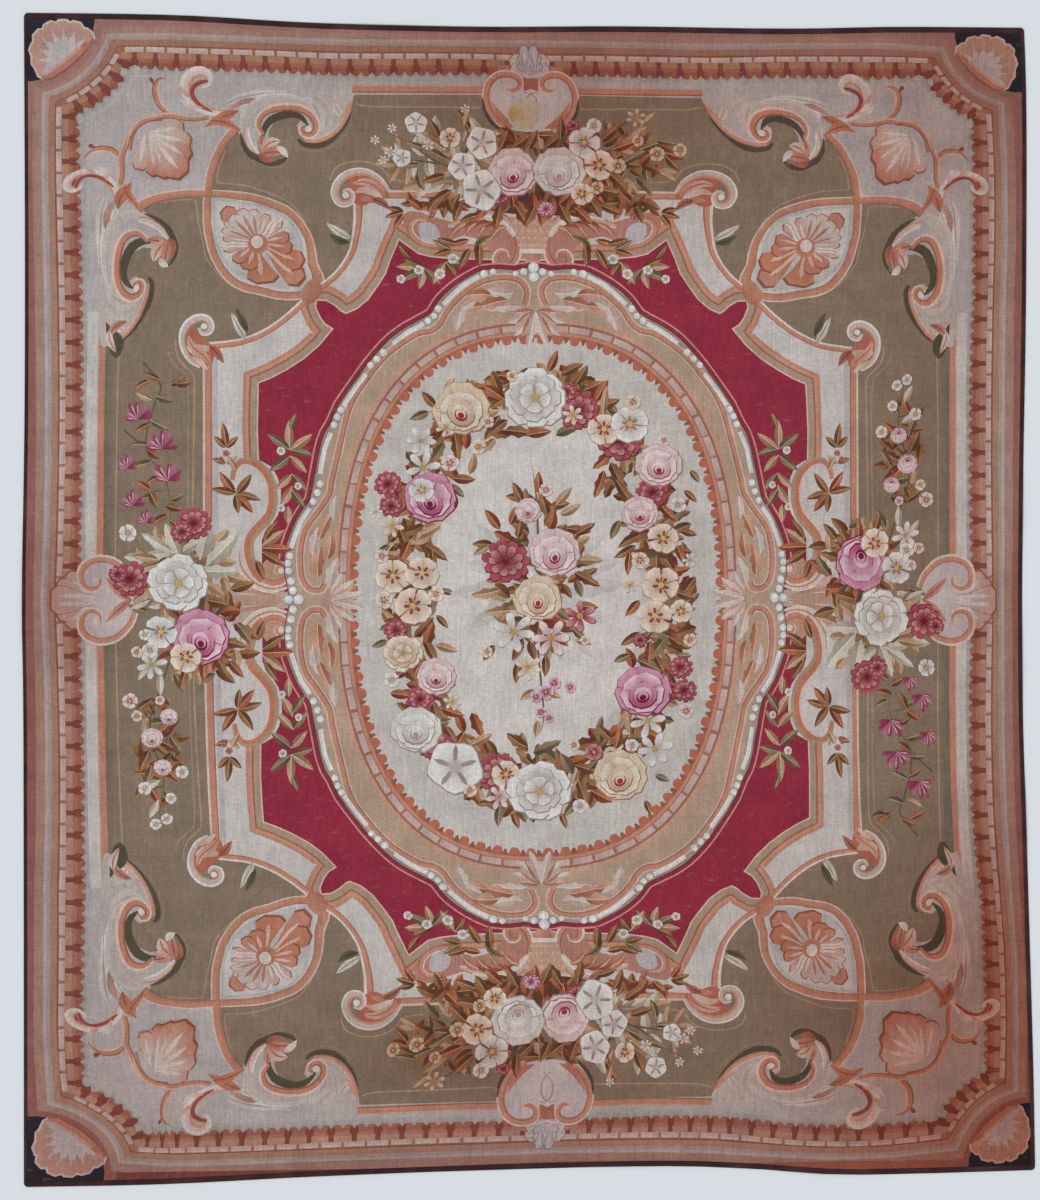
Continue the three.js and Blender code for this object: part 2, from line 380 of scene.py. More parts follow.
@dataclass
class Pen:
    """Draws patches on the cartoon, once for each of its places."""

    cartoon: Cartoon
    places: tuple[Place, ...] = HERE

    def fill(self, outline: Curve, near: str | Wool, far: str | Wool | None = None,
             start: Sequence[float] | None = None, end: Sequence[float] | None = None,
             round_: bool = False) -> None:
        """Lays one patch.

        Args:
            outline: its closed outline on the cartoon.
            near: its colour, or the colour at start.
            far: the colour at end, where the patch shades from one to the other.
            start: where the shading starts.
            end: where it ends.
            round_: whether it shades in rings about start, not in a straight run.
        """
        code = [tone.value if isinstance(tone, Wool) else tone for tone in (near, far or near)]
        axis = np.array([start if start is not None else outline[0], end if end is not None else outline[1]])
        for place in self.places:
            book = self.cartoon
            book.outlines.append(outline)
            book.axes.append(axis.astype(float))
            book.colours.append(np.concatenate([linear(code[0]), linear(code[1])]))
            book.rounds.append(round_)
            book.places[id(place)] = place
            book.place_of.append(id(place))

    def strap(self, path: Curve, *bands: tuple[float, float, Wool | str], chunk: int = 8) -> None:
        """Lays bands along a path, each between two distances from it.

        Args:
            path: the line that they follow.
            bands: the near and far distance and the wool of each, lowest first.
            chunk: how many steps of the path one patch takes.
        """
        across = sideways(path)
        for left, right, wool in bands:
            for first in range(0, len(path) - 1, chunk):
                part = slice(first, min(first + chunk, len(path) - 1) + 1)
                one, other = path[part] + left * across[part], path[part] + right * across[part]
                self.fill(np.vstack([one, other[::-1]]), wool)

    def line(self, path: Curve, width: float, wool: Wool | str, taper: bool = False) -> None:
        """Lays a thin line, which may taper to its end."""
        half = swell(len(path), width, 0.8 * width, 0.12) / 2 if taper else width / 2
        self.fill(band(path, half, -half), wool)


def toward(heading: float, length: float) -> np.ndarray:
    """The step of a length in a direction in degrees, clockwise from the right as drawn."""
    return length * np.array([math.cos(math.radians(heading)), math.sin(math.radians(heading))])


@dataclass
class Florist:
    """Draws flowers, leaves and stems with a pen, each as a small stack of patches."""

    pen: Pen
    seed: int = 7

    EYE = "c9a867"  # the pale middle of an open flower
    BROAD = 11  # warps: a broader leaf has a cut edge
    CUT = 0.7  # how much of a broad leaf's breadth is left at a cut
    VEINED = 5  # warps: a narrower leaf shows no midrib

    def __post_init__(self) -> None:
        """Starts the run of small chances that keeps petals from being alike."""
        self.luck = np.random.default_rng(self.seed)

    def lobes(self, at: Sequence[float], radius: float, count: int, breadth: float, near: str, far: str,
              turn: float = 0.0, full: float = 1.0, notch: float = 0.06, squash: float = 1.0,
              shade: str | None = None) -> None:
        """A ring of petals about a point, each over its own thin shadow.

        Args:
            at: the ring's middle.
            radius: how far the petals reach.
            count: how many there are.
            breadth: a petal's breadth as a share of the radius.
            near: the tone at the middle.
            far: the tone at the tips.
            turn: the first petal's direction in degrees.
            full: how far out a petal is broadest.
            notch: how deep the tips are cut in.
            squash: how much the ring is flattened.
            shade: the tone of the thin shadow.
        """
        centre = np.asarray(at, float)
        for i in range(count):
            heading = turn + 360.0 * i / count + self.luck.uniform(-6, 6)
            length = radius * self.luck.uniform(0.93, 1.06)
            blade = petal((0, 0), heading, length, breadth * radius, full, notch, 9) * (1, squash)
            tip = toward(heading, 1.0) * (1, squash) * length
            if shade:
                self.pen.fill(centre + blade * 1.04 + (0.3, 0.5), shade)
            self.pen.fill(centre + blade, near, far, centre + 0.25 * tip, centre + 0.95 * tip)

    def rose(self, at: Sequence[float], radius: float, skein: Skein, turn: float = 0.0,
             heart: Sequence[float] = (0.0, 0.25)) -> None:
        """A full rose: two rings of wide petals round a cup of crescents about the heart."""
        centre = np.asarray(at, float)
        core = centre + np.asarray(heart) * radius
        self.lobes(centre, radius, 6, 1.05, skein.mid, skein.light, turn, 1.5, 0.05, 0.92, skein.dark)
        self.lobes(centre * 0.8 + core * 0.2, 0.78 * radius, 5, 1.1, skein.mid, skein.rim, turn + 28, 1.5,
                   0.05, 0.9, skein.dark)
        steps = ((0.52, skein.dark), (0.49, skein.light), (0.37, skein.mid), (0.33, skein.rim),
                 (0.24, skein.heart), (0.19, skein.light), (0.12, skein.heart))
        for i, (share, tone) in enumerate(steps):
            middle = core + (centre - core) * share * 0.5 + (0.0, -0.05 * radius * (i % 2))
            self.pen.fill(ring(middle, share * radius * 1.05, share * radius * 0.9, 10, turn), tone,
                          skein.mid if i in (1, 3) else tone, middle - (0, share * radius),
                          middle + (0, share * radius))

    def peony(self, at: Sequence[float], radius: float, skein: Skein, turn: float = 0.0) -> None:
        """A ruffled open flower: three rings of notched petals about a small dotted middle."""
        centre = np.asarray(at, float)
        self.lobes(centre, radius, 8, 0.75, skein.mid, skein.rim, turn, 1.3, 0.13, 0.94, skein.dark)
        self.lobes(centre, 0.76 * radius, 7, 0.75, skein.dark, skein.light, turn + 20, 1.3, 0.12, 0.94,
                   skein.dark)
        self.lobes(centre, 0.5 * radius, 5, 0.9, skein.mid, skein.rim, turn + 50, 1.2, 0.12, 0.94,
                   skein.dark)
        self.pen.fill(ring(centre, 0.17 * radius, 0.15 * radius, 8), skein.heart, "b39a6a",
                      centre, centre + (0.17 * radius, 0), True)

    def blossom(self, at: Sequence[float], radius: float, skein: Skein, turn: float = 0.0,
                count: int = 5, eye: str = "8a5a34") -> None:
        """An open flower of round petals about an eye with a pale middle."""
        centre = np.asarray(at, float)
        self.lobes(centre, radius, count, 6.0 / (count + 1.2), skein.mid, skein.rim, turn, 1.25, 0.1, 0.95,
                   skein.dark)
        self.lobes(centre, 0.45 * radius, count, 0.42, eye, skein.heart, turn, 0.6, 0.0)
        self.pen.fill(ring(centre, 0.16 * radius, 0.16 * radius, 7), self.EYE)

    def star(self, at: Sequence[float], radius: float, skein: Skein, turn: float = 0.0,
             count: int = 6, breadth: float = 0.42) -> None:
        """A flower of pointed petals, such as a lily or a daisy, with a vein down each."""
        centre = np.asarray(at, float)
        self.lobes(centre, radius, count, breadth, skein.mid, skein.rim, turn, 0.55, 0.0, 0.95, skein.dark)
        self.pen.fill(ring(centre, 0.2 * radius, 0.18 * radius, 7), skein.heart, "b08f50",
                      centre, centre + (0.2 * radius, 0), True)

    def carnation(self, at: Sequence[float], radius: float, skein: Skein, turn: float = 0.0) -> None:
        """A tuft of many narrow ragged petals, darker to its middle."""
        centre = np.asarray(at, float)
        for share, count, far in ((1.0, 11, skein.light), (0.74, 9, skein.rim), (0.46, 6, skein.light)):
            self.lobes(centre, share * radius, count, 0.46, skein.dark, far, turn + 40 * share, 1.1, 0.2,
                       0.92, skein.dark)

    def trumpet(self, at: Sequence[float], radius: float, skein: Skein, turn: float = 0.0) -> None:
        """A trumpet flower seen from the front: a waved disc with five rays about its throat."""
        centre = np.asarray(at, float)
        angle = np.linspace(0, 2 * math.pi, 20, endpoint=False)
        wave = radius * (1 + 0.07 * np.cos(5 * angle))
        disc = np.column_stack([wave * np.cos(angle), 0.92 * wave * np.sin(angle)]) @ rotation(turn)
        self.pen.fill(centre + disc * 1.05 + (0.4, 0.5), skein.dark)
        self.pen.fill(centre + disc, skein.mid, skein.rim, centre, centre + (radius * 0.9, 0), True)
        for i in range(5):
            self.pen.fill(petal(centre, turn + 36 + 72 * i, 0.85 * radius, 0.2 * radius, 0.2, 0, 6),
                          skein.light, skein.dark)
        self.pen.fill(ring(centre, 0.26 * radius, 0.24 * radius, 8), skein.heart, skein.mid, centre,
                      centre + (0.26 * radius, 0), True)

    def leaf(self, base: Sequence[float], heading: float, length: float, width: float, skein: Skein,
             bend: float = 0.0, vein: bool = True) -> None:
        """A leaf in two halves about a bent midrib, one half in shade.

        Args:
            base: where it grows from.
            heading: its direction at the base in degrees, clockwise from the right.
            length: from base to tip.
            width: its whole breadth.
            skein: its wools.
            bend: how far its direction turns by the tip, in degrees.
            vein: whether its midrib is drawn.
        """
        t = np.linspace(0.0, 1.0, 7)
        angle = np.radians(heading + bend * t)
        step = np.column_stack([np.cos(angle), np.sin(angle)]) * length / 6
        path = np.asarray(base, float) + np.vstack([[0, 0], np.cumsum(step[1:], axis=0)])
        half = 0.5 * width * np.sin(np.pi * t**0.85) ** 0.8
        half[[0, -1]] = 0.0
        if width > self.BROAD:
            half[[2, 4]] *= self.CUT
        self.pen.fill(band(path, half, 0), skein.mid, skein.light, path[0], path[-1])
        self.pen.fill(band(path, 0, -half), skein.dark, skein.mid, path[0], path[-1])
        if vein and width > self.VEINED:
            self.pen.fill(band(path[:6], 0.4, -0.25), skein.rim)

    def tuft(self, at: Sequence[float], radius: float, skein: Skein, turn: float = 0.0) -> None:
        """A fan of narrow petals over a brown cup, every other one pale along its middle."""
        foot = np.asarray(at, float) + (0.0, 0.5 * radius)
        self.pen.fill(petal(foot + (0, 2.5), -90, 0.8 * radius, 0.7 * radius, 0.6, 0.0, 8), "6b573d",
                      "8d7750")
        for i, lean in enumerate((-84, 80, -55, 52, -27, 24, 0)):
            heading = -90 + lean + self.luck.uniform(-7, 7)
            long = radius * (1.3 - 0.004 * abs(lean)) * self.luck.uniform(0.84, 1.1)
            tones = (skein.mid, skein.light) if i % 3 == 2 else (skein.dark, skein.mid)
            tip = foot + toward(heading, long)
            self.pen.fill(petal(foot, heading, long, 0.34 * radius, 0.8, 0.0, 8), *tones, foot, tip)
            if i % 2 == 0:
                self.pen.fill(petal(foot, heading + 4, 0.85 * long, 0.11 * radius, 0.7, 0.0, 6), skein.rim)

    def stem(self, path: Curve, width: float = 2.0, tone: str = "67543c") -> None:
        """A thin stem through the points, finer to its end."""
        self.pen.line(smooth(path, steps=3), width, tone, taper=True)


@dataclass
class Borders:
    """The dark ground of the corners and the bands round the rug, in to the toothed pale band."""

    cartoon: Cartoon
    half_wide: float = 514.0
    half_tall: float = 583.0
    top_share: float = 0.93  # the bands at top and bottom are a little narrower than at the sides
    pitch: float = 22.4  # from one dash to the next along a side

    # Depth from the edge, radius of the turn round the corner, wool at the sides, wool at the top. The
    # first band starts outside the edge, so that it reaches under the tape.
    LEVELS = (
        (-6.0, 71.0, "8f5e57", "946f67"), (11.2, 77.5, "9b7f77", "9a7268"), (14.0, 80.5, "a27f71", "9f7a6e"),
        (20.3, 85.0, "aaa09f", "a5948f"), (23.6, 88.0, "a2938f", "a08a83"), (27.0, 91.5, "a37d6c", "9b6f60"),
        (33.4, 98.5, "85544b", "865549"), (34.8, 99.9, "9c6c5b", "95654f"),
        (41.0, 106.0, "a98270", "a37763"), (47.4, 112.5, "a06f5d", "99654f"),
        (51.5, 117.0, "985f4f", "925846"), (59.5, 125.0, "aca3a1", "aca3a1"),
    )
    squash: float = 0.93  # how much flatter than wide the corners' turns are

    # the depths from the edge at which the corners of a dash, of its pale lip and of a bar lie
    DASH = (35.2, 35.2, 40.8, 40.8)
    LIP = (35.6, 35.6, 37.4, 37.4)
    BAR = (41, 41, 48, 50.5, 55, 60, 55, 50.5, 48)
    BAR_ASIDE = np.array((-2.5, 2.5, 2.5, 4.1, 4.1, 0, -4.1, -4.1, -2.5))  # from the bar's middle line

    def loop(self, depth: float, turn: float, arc_steps: int = 9, side_steps: int = 14) -> Curve:
        """A ring of the border: straight sides, and an arc about each outer corner.

        Args:
            depth: how far the straight sides lie in from the edge.
            turn: the radius of the arc about each outer corner.
            arc_steps: how many steps each arc has.
            side_steps: how many steps each side has.

        Returns:
            The closed outline in the squared-up design.
        """
        down = depth * self.top_share
        flat = turn * self.squash
        start, stop = math.asin(min(down / flat, 1)), math.acos(min(depth / turn, 1))
        angle = np.linspace(stop, start, arc_steps)
        arc = np.column_stack([turn * np.cos(angle), flat * np.sin(angle)])
        corner = np.array([self.half_wide, self.half_tall])
        arcs = [
            np.array([sx, sy]) * (arc - corner)
            for sx, sy in ((1, 1), (-1, 1), (-1, -1), (1, -1))
        ]
        arcs = [arc_ if i % 2 == 0 else arc_[::-1] for i, arc_ in enumerate(arcs)]
        outline = []
        for here, there in zip(arcs, arcs[1:] + arcs[:1]):
            t = np.linspace(0, 1, side_steps + 1)[1:-1, None]
            outline += [here, here[-1] + t * (there[0] - here[-1])]
        return DESIGN_MIDDLE + np.vstack(outline)

    def draw(self) -> None:
        """Lays the corner ground, the bands, the dashes, the bars and the teeth."""
        pen = Pen(self.cartoon, SQUARE)
        edge = np.array([self.half_wide, self.half_tall])
        whole = DESIGN_MIDDLE + edge * points(-1.05, -1.05, 1.05, -1.05, 1.05, 1.05, -1.05, 1.05)
        pen.fill(whole, Wool.NIGHT)
        top = DESIGN_MIDDLE - (0, self.half_tall)
        for depth, turn, side, upper in self.LEVELS:
            pen.fill(self.loop(depth, turn), upper, side, top + (0, 60), top + (0, 190))
        foot = DESIGN_MIDDLE + (0, self.half_tall)
        pen.fill(foot + points(-432, 10, -432, -9.6, 432, -9.6, 432, 10), "7c443d", "9a6155", foot,
                 foot - (0, 9))
        quarter_pen = Pen(self.cartoon, FOUR)
        self.straight(quarter_pen, level=True)
        self.straight(quarter_pen, level=False)
        self.turns(quarter_pen)

    def straight(self, pen: Pen, level: bool) -> None:
        """Dashes, bars and teeth along half of a straight side, from the middle out.

        Args:
            pen: draws in all four quarters.
            level: whether the side is the top one.
        """
        reach = self.half_wide - 92 if level else self.half_tall - 88
        count = 19 if level else 22
        scale = self.top_share if level else 1.0

        def spot(along: Curve, depth: Curve) -> Curve:
            """Cloth points at places along the side, at depths from its edge."""
            along, depth = np.asarray(along, float), np.asarray(depth, float) * scale
            if level:
                where = np.column_stack([-along, depth - self.half_tall])
            else:
                where = np.column_stack([depth - self.half_wide, -along])
            return TO_CLOTH(DESIGN_MIDDLE + where)

        for i in range(count):
            middle = (i + (0.0 if level else 0.5)) * self.pitch
            gap = 1.4
            left, right = middle - self.pitch / 2 + gap, middle + self.pitch / 2 - gap
            pen.fill(spot([left, right, right, left], self.DASH), Wool.DASH)
            pen.fill(spot([left + 1, right - 1, right - 1, left + 1], self.LIP), "bfaca6")
            pen.fill(spot(middle + self.BAR_ASIDE, self.BAR), "81483f", "7c3f37", spot([middle], [41])[0],
                     spot([middle], [58])[0])
        step = self.pitch / 8
        places = np.arange(0, int(reach / step)) * step
        bump = np.abs(np.sin(math.pi * places / (4 * step))) ** 0.7
        inner = spot(places, 54.8 + 4.8 * bump)
        far = spot(places, np.full(len(places), 67.0))
        pen.fill(np.vstack([inner, far[::-1]]), Wool.CHALK_SHADE)
        pen.fill(np.vstack([spot(places, 58.6 + 4.0 * bump), far[::-1]]), "a6a09c")
        pen.fill(np.vstack([spot(places[::4], np.full(len(places[::4]), 65.0)), far[::-1]]), Wool.CHALK)

    def turns(self, pen: Pen) -> None:
        """The rays, dashes and teeth of one corner's quarter turn."""
        corner = np.array([24.0, 17.0])

        def spot(angle: Curve, radius: Curve) -> Curve:
            """Cloth points at angles about the outer corner."""
            a = np.radians(np.asarray(angle, float))
            r = np.asarray(radius, float)
            return TO_CLOTH(corner + np.column_stack([r * np.cos(a), r * self.squash * np.sin(a)]))

        first, last, count = 24.0, 64.5, 5
        width = (last - first) / count
        for i in range(count):
            a, b = first + i * width + 0.8, first + (i + 1) * width - 0.8
            pen.fill(spot([a, b, b, a], [99.8, 99.8, 105, 105]), Wool.DASH)
            c = (a + b) / 2
            pen.fill(spot([c - 1.2, c + 1.2, c + 1.3, c + 2.3, c + 1.8, c, c - 1.8, c - 2.3],
                          [105.5, 105.5, 111, 114, 120, 126, 120, 114]), "7e443b")
        teeth = 17
        angles = np.linspace(26.2, 63.8, teeth)
        radii = 122 + 2.2 * np.where(np.arange(teeth) % 2 == 0, 1.0, -1.0)
        far = spot(angles, np.full(teeth, 131.0))
        pen.fill(np.vstack([spot(angles, radii), far[::-1]]), Wool.CHALK_SHADE)
        pen.fill(np.vstack([spot(angles, radii + 3.2), far[::-1]]), "a5a39e")
        pen.fill(np.vstack([spot(angles, np.full(teeth, 128.0)), far[::-1]]), Wool.CHALK)


@dataclass
class Field:
    """The pale spandrels, the olive ground and the straps that frame the crimson field."""

    cartoon: Cartoon

    # the olive ground's edge against the spandrel, from the top stripe down to where the straps cross
    GROUND_EDGE = points(538, 95, 352, 95, 346, 106, 336, 122, 323, 137, 307, 143, 299, 134, 297, 125,
                         303, 119, 290, 115, 276, 119, 269, 131, 268, 146, 258, 150, 247, 146, 241, 136,
                         236, 130, 224, 143, 214, 161, 207, 188)
    ARC = points(238, 127, 229, 136, 220, 149, 211.5, 170, 209, 182, 207.5, 201, 207.3, 221, 208.2, 231,
                 210.4, 241.4, 213, 252, 217.5, 262, 224, 272, 234, 282, 247, 288, 261.4, 291, 276.7, 295,
                 290, 296, 303, 295, 313, 292)
    # the crimson's edge along the side scroll
    SCROLL_EDGE = points(262, 603, 262, 540, 266, 531, 272, 524, 278, 515, 281, 503, 281, 490, 278, 478,
                         272, 467)
    CRIMSON_EDGE = points(260, 460, 258.8, 430, 259.2, 400, 259.7, 384, 272, 379, 288, 370.5, 305, 359.5,
                          320, 346.5, 335, 328.5, 326, 323, 321, 316, 317, 306.5, 317.7, 301.6, 326, 302,
                          334, 306.5, 341, 312.5, 346, 315, 357.6, 310, 369, 300.5, 379, 286.5, 387, 274,
                          391, 262, 395, 252, 399.4, 241.6, 408, 248, 418, 255, 430, 258, 450, 260, 538, 262)

    def draw(self) -> None:
        """Lays the grounds, the straps and the stripes."""
        four, eight = Pen(self.cartoon, FOUR), Pen(self.cartoon, EIGHT)
        self.grounds(four)
        self.straps(four, eight)
        self.crimson(four)

    def grounds(self, pen: Pen) -> None:
        """The pale ground inside the teeth, the stripe, and the olive ground."""
        rail = points(352, 89.5, 440, 90, 538, 90)
        pen.strap(smooth(rail), (4.5, 3, "b79a8e"), (3.2, -2, Wool.RUST), (-2, -3.4, Wool.RUST_DEEP))
        rail = points(103.5, 312, 103, 345, 101.5, 450, 100.5, 603)
        pen.strap(smooth(rail), (-15.5, -5, Wool.SNOW), (-5, -3.6, "b79a8e"), (-3.8, 2.4, Wool.RUST),
                  (2.4, 4, Wool.RUST_DEEP))
        lower = OVER_DIAGONAL(self.GROUND_EDGE[2:])[::-1]
        ground = np.vstack([self.GROUND_EDGE, lower, points(105.5, 352, 105, 450, 104, 603, 538, 603)])
        pen.fill(ground, Wool.OLIVE)
        shade = points(105.5, 340, 115, 340, 113, 450, 112, 603, 104, 603, 105, 450)
        pen.fill(shade, "6f6a5b", Wool.OLIVE, (107, 500), (115, 500))

    def straps(self, four: Pen, eight: Pen) -> None:
        """The crossed straps round the rosettes, and the straps on either side of the pale band."""
        arc = smooth(self.ARC, steps=3)
        lens = np.vstack([self.ARC[4:], OVER_DIAGONAL(self.ARC[4:])[::-1]])
        shadow = smooth(points(238, 133, 226, 146, 218, 160, 213, 178), steps=3)
        eight.fill(band(shadow, -swell(len(shadow), 0.5, 5, 0.5), 0), Wool.MOSS)
        four.fill(lens, Wool.SNOW)
        inner = smooth(points(214, 197, 214, 221, 216, 241, 224, 260, 240, 275, 262, 283, 290, 288), steps=3)
        eight.strap(inner, (1.6, -1.6, "aaa8a4"))
        eight.strap(smooth(points(226, 150, 220, 165, 217, 181, 222, 183.5, 245, 185.5, 268, 193, 290, 203,
                                  303, 219, 311, 236, 318, 256), steps=3), (0.6, -0.6, Wool.LINE))
        eight.strap(arc, (-4.6, -3.0, Wool.BLUSH), (-3.2, 1.2, Wool.RUST), (0.6, 3.2, "ad7862"),
                    (3.2, 4.0, Wool.RUST_DEEP))

    def crimson(self, pen: Pen) -> None:
        """The pale band, the stripes and the crimson field."""
        edge = self.CRIMSON_EDGE
        outer = points(207, 603, 207, 366, 203, 345, 222, 344.5, 240, 343, 258, 336, 275, 327, 290, 316,
                       303, 306, 309, 301, 318, 294, 330, 282, 340, 268, 349, 256, 355, 242, 358, 222,
                       358, 200, 366, 197, 538, 196)
        pen.fill(np.vstack([outer, points(538, 603)]), Wool.SNOW)
        rest = points(538, 603, 284, 603, 284, 462)
        for reach, wool in ((16.5, Wool.RUST), (13.5, "b98772"), (10.4, Wool.RUST_DEEP), (8.6, Wool.SAND),
                            (2.2, Wool.BLUSH)):
            pen.fill(np.vstack([grown(edge, reach), rest]), wool)
        pen.fill(np.vstack([self.SCROLL_EDGE, grown(edge, 0.8), points(538, 603)]), Wool.CRIMSON)


def grown(path: Curve, reach: float) -> Curve:
    """A path moved to its left by a distance, with mitred corners cut at 1.6 times the distance."""
    along = np.diff(path, axis=0)
    along /= np.linalg.norm(along, axis=1, keepdims=True)
    across = np.column_stack([along[:, 1], -along[:, 0]])
    before, after = np.vstack([across[:1], across]), np.vstack([across, across[-1:]])
    middle = before + after
    middle /= np.maximum((middle**2).sum(1, keepdims=True) / 2, 0.78)
    return path + reach * middle


@dataclass
class Carver:
    """Draws the scrollwork: tapered ribbons with a lit and a shaded edge, coils and cut leaves."""

    pen: Pen

    def ribbon(self, path: Curve, widths: tuple[float, float, float], light: Wool | str = "cdb2a6",
               body: Wool | str = Wool.RUST, dark: Wool | str = Wool.RUST_DEEP, lit: float = 0.3,
               steps: int = 3, chunk: int = 6) -> None:
        """Lays a tapered ribbon along a smooth path.

        Args:
            path: the points that its middle line runs through.
            widths: its breadth at the start, in the middle and at the end.
            light: the wool of its left edge as it runs.
            body: the wool of its middle.
            dark: the wool of its right edge.
            lit: how much of the breadth the light edge takes; the dark edge takes two thirds of that.
            steps: how finely the path is smoothed.
            chunk: how many steps one patch takes.
        """
        line = smooth(path, steps=steps)
        half = swell(len(line), *widths)[:, None] / 2
        across = sideways(line)
        for top, low, wool in ((1.0, -1.0, body), (1.0, 1 - 2 * lit, light), (-1 + 1.3 * lit, -1.0, dark)):
            one, other = line + top * half * across, line + low * half * across
            for first in range(0, len(line) - 1, chunk):
                part = slice(first, min(first + chunk, len(line) - 1) + 1)
                self.pen.fill(np.vstack([one[part], other[part][::-1]]), wool)

    def leaf(self, path: Curve, width: float, near: Wool | str, far: Wool | str,
             rib: Wool | str | None = None, full: float = 0.9) -> None:
        """Lays a plain curved leaf about a path, shaded from its base to its tip, with a rib.

        Args:
            path: the points that its midrib runs through.
            width: its whole breadth.
            near: the wool at its base.
            far: the wool at its tip.
            rib: the wool of its midrib, where it has one.
            full: where it is broadest: smaller is nearer the base.
        """
        line = smooth(path, steps=3)
        t = np.linspace(0.0, 1.0, len(line))
        half = 0.5 * width * np.sin(np.pi * t**full) ** 0.85
        half[[0, -1]] = 0.0
        self.pen.fill(band(line, half, -half), near, far, line[0], line[-1])
        if rib:
            self.pen.fill(band(line, 0.10 * half + 0.25, -0.10 * half - 0.25), rib)

    def fan(self, base: Sequence[float], tips: Sequence[Sequence[float]], breadth: float, near: Wool | str,
            far: Wool | str, rib: Wool | str, edge: Wool | str) -> None:
        """Lays lobes from one base to several tips, each over its dark edge.

        Args:
            base: where the lobes meet.
            tips: where each ends.
            breadth: a lobe's breadth as a share of its length.
            near: the wool at the base.
            far: the wool at the tips.
            rib: the wool of the ray down each lobe.
            edge: the wool of its dark edge.
        """
        root = np.asarray(base, float)
        for tip in tips:
            run = np.asarray(tip, float) - root
            length = float(np.linalg.norm(run))
            heading = math.degrees(math.atan2(run[1], run[0]))
            blade = petal(root, heading, length, breadth * length, 1.5, 0.06, 11)
            self.pen.fill(root + (blade - root) * 1.05 + (0.35, 0.45), edge)
            self.pen.fill(blade, near, far, root + 0.2 * run, root + 0.95 * run)
            self.pen.fill(petal(root, heading, 0.82 * length, 0.1 * length, 0.6, 0.0, 6), rib)

    def volute(self, centre: Sequence[float], radius: float, start: float, turns: float, width: float,
               light: Wool | str = "d0b9ae", body: Wool | str = Wool.RUST,
               dark: Wool | str = Wool.RUST_DEEP) -> None:
        """Lays a coil that winds in to a round eye."""
        path = coil(centre, radius, start, turns, 0.3)
        self.ribbon(path, (width, width * 0.85, width * 0.5), light, body, dark, steps=1)
        self.pen.fill(ring(centre, width * 0.42, width * 0.42, 9), light)


@dataclass
class CornerShell:
    """The shell on the night-dark ground in each corner."""

    cartoon: Cartoon

    # the scallops' headings from the shell's middle, and how far each reaches
    LOBES = ((157, 33), (179, 35.5), (200, 39), (221, 42), (242, 42), (263, 40.5), (285, 39.5), (309, 37.5))

    def draw(self) -> None:
        """Lays the scallops with their rays, the hollow, and the ribbon over it."""
        pen = Pen(self.cartoon, FOUR)
        middle = np.array([67.0, 60.0])
        for heading, reach in self.LOBES:
            pen.fill(petal(middle, heading, reach + 1.4, 17.6, 1.9, 0.0, 13), "c0b0ab")
        for heading, reach in self.LOBES:
            pen.fill(petal(middle, heading, reach - 0.6, 15.4, 1.9, 0.0, 13), "a2897f", "b58a78",
                     middle + toward(heading, 0.45 * reach), middle + toward(heading, reach))
            for lean in (-5.5, 0, 5.5):
                pen.fill(petal(middle, heading + lean, reach * (0.84 - 0.05 * abs(lean)), 2.6, 0.5, 0.0, 6),
                         "bcaeac", "b59c90", middle, middle + toward(heading, reach))
            pen.fill(petal(middle, heading, reach * 0.62, 9, 0.8, 0.0, 7), "a99f9f", "b7adac", middle,
                     middle + toward(heading, 0.6 * reach))
        hollow = blob(41, 74, 46, 66, 52, 59, 60, 52, 69, 46, 79, 42, 88, 41, 82, 48, 74, 56, 64, 64, 54, 71,
                      47, 76)
        pen.fill(hollow, "a59d9f", "b3a9aa", (46, 46), (66, 62))
        carver = Carver(pen)
        carver.ribbon(points(42, 77, 50, 76, 58, 70, 68, 63, 78, 54, 86, 46, 93, 38), (5, 11, 4), "bb8f7e",
                      "a97763", "8b5548")
        pen.fill(ring((85, 46), 5, 3.4, 9, -40), "a4705f")


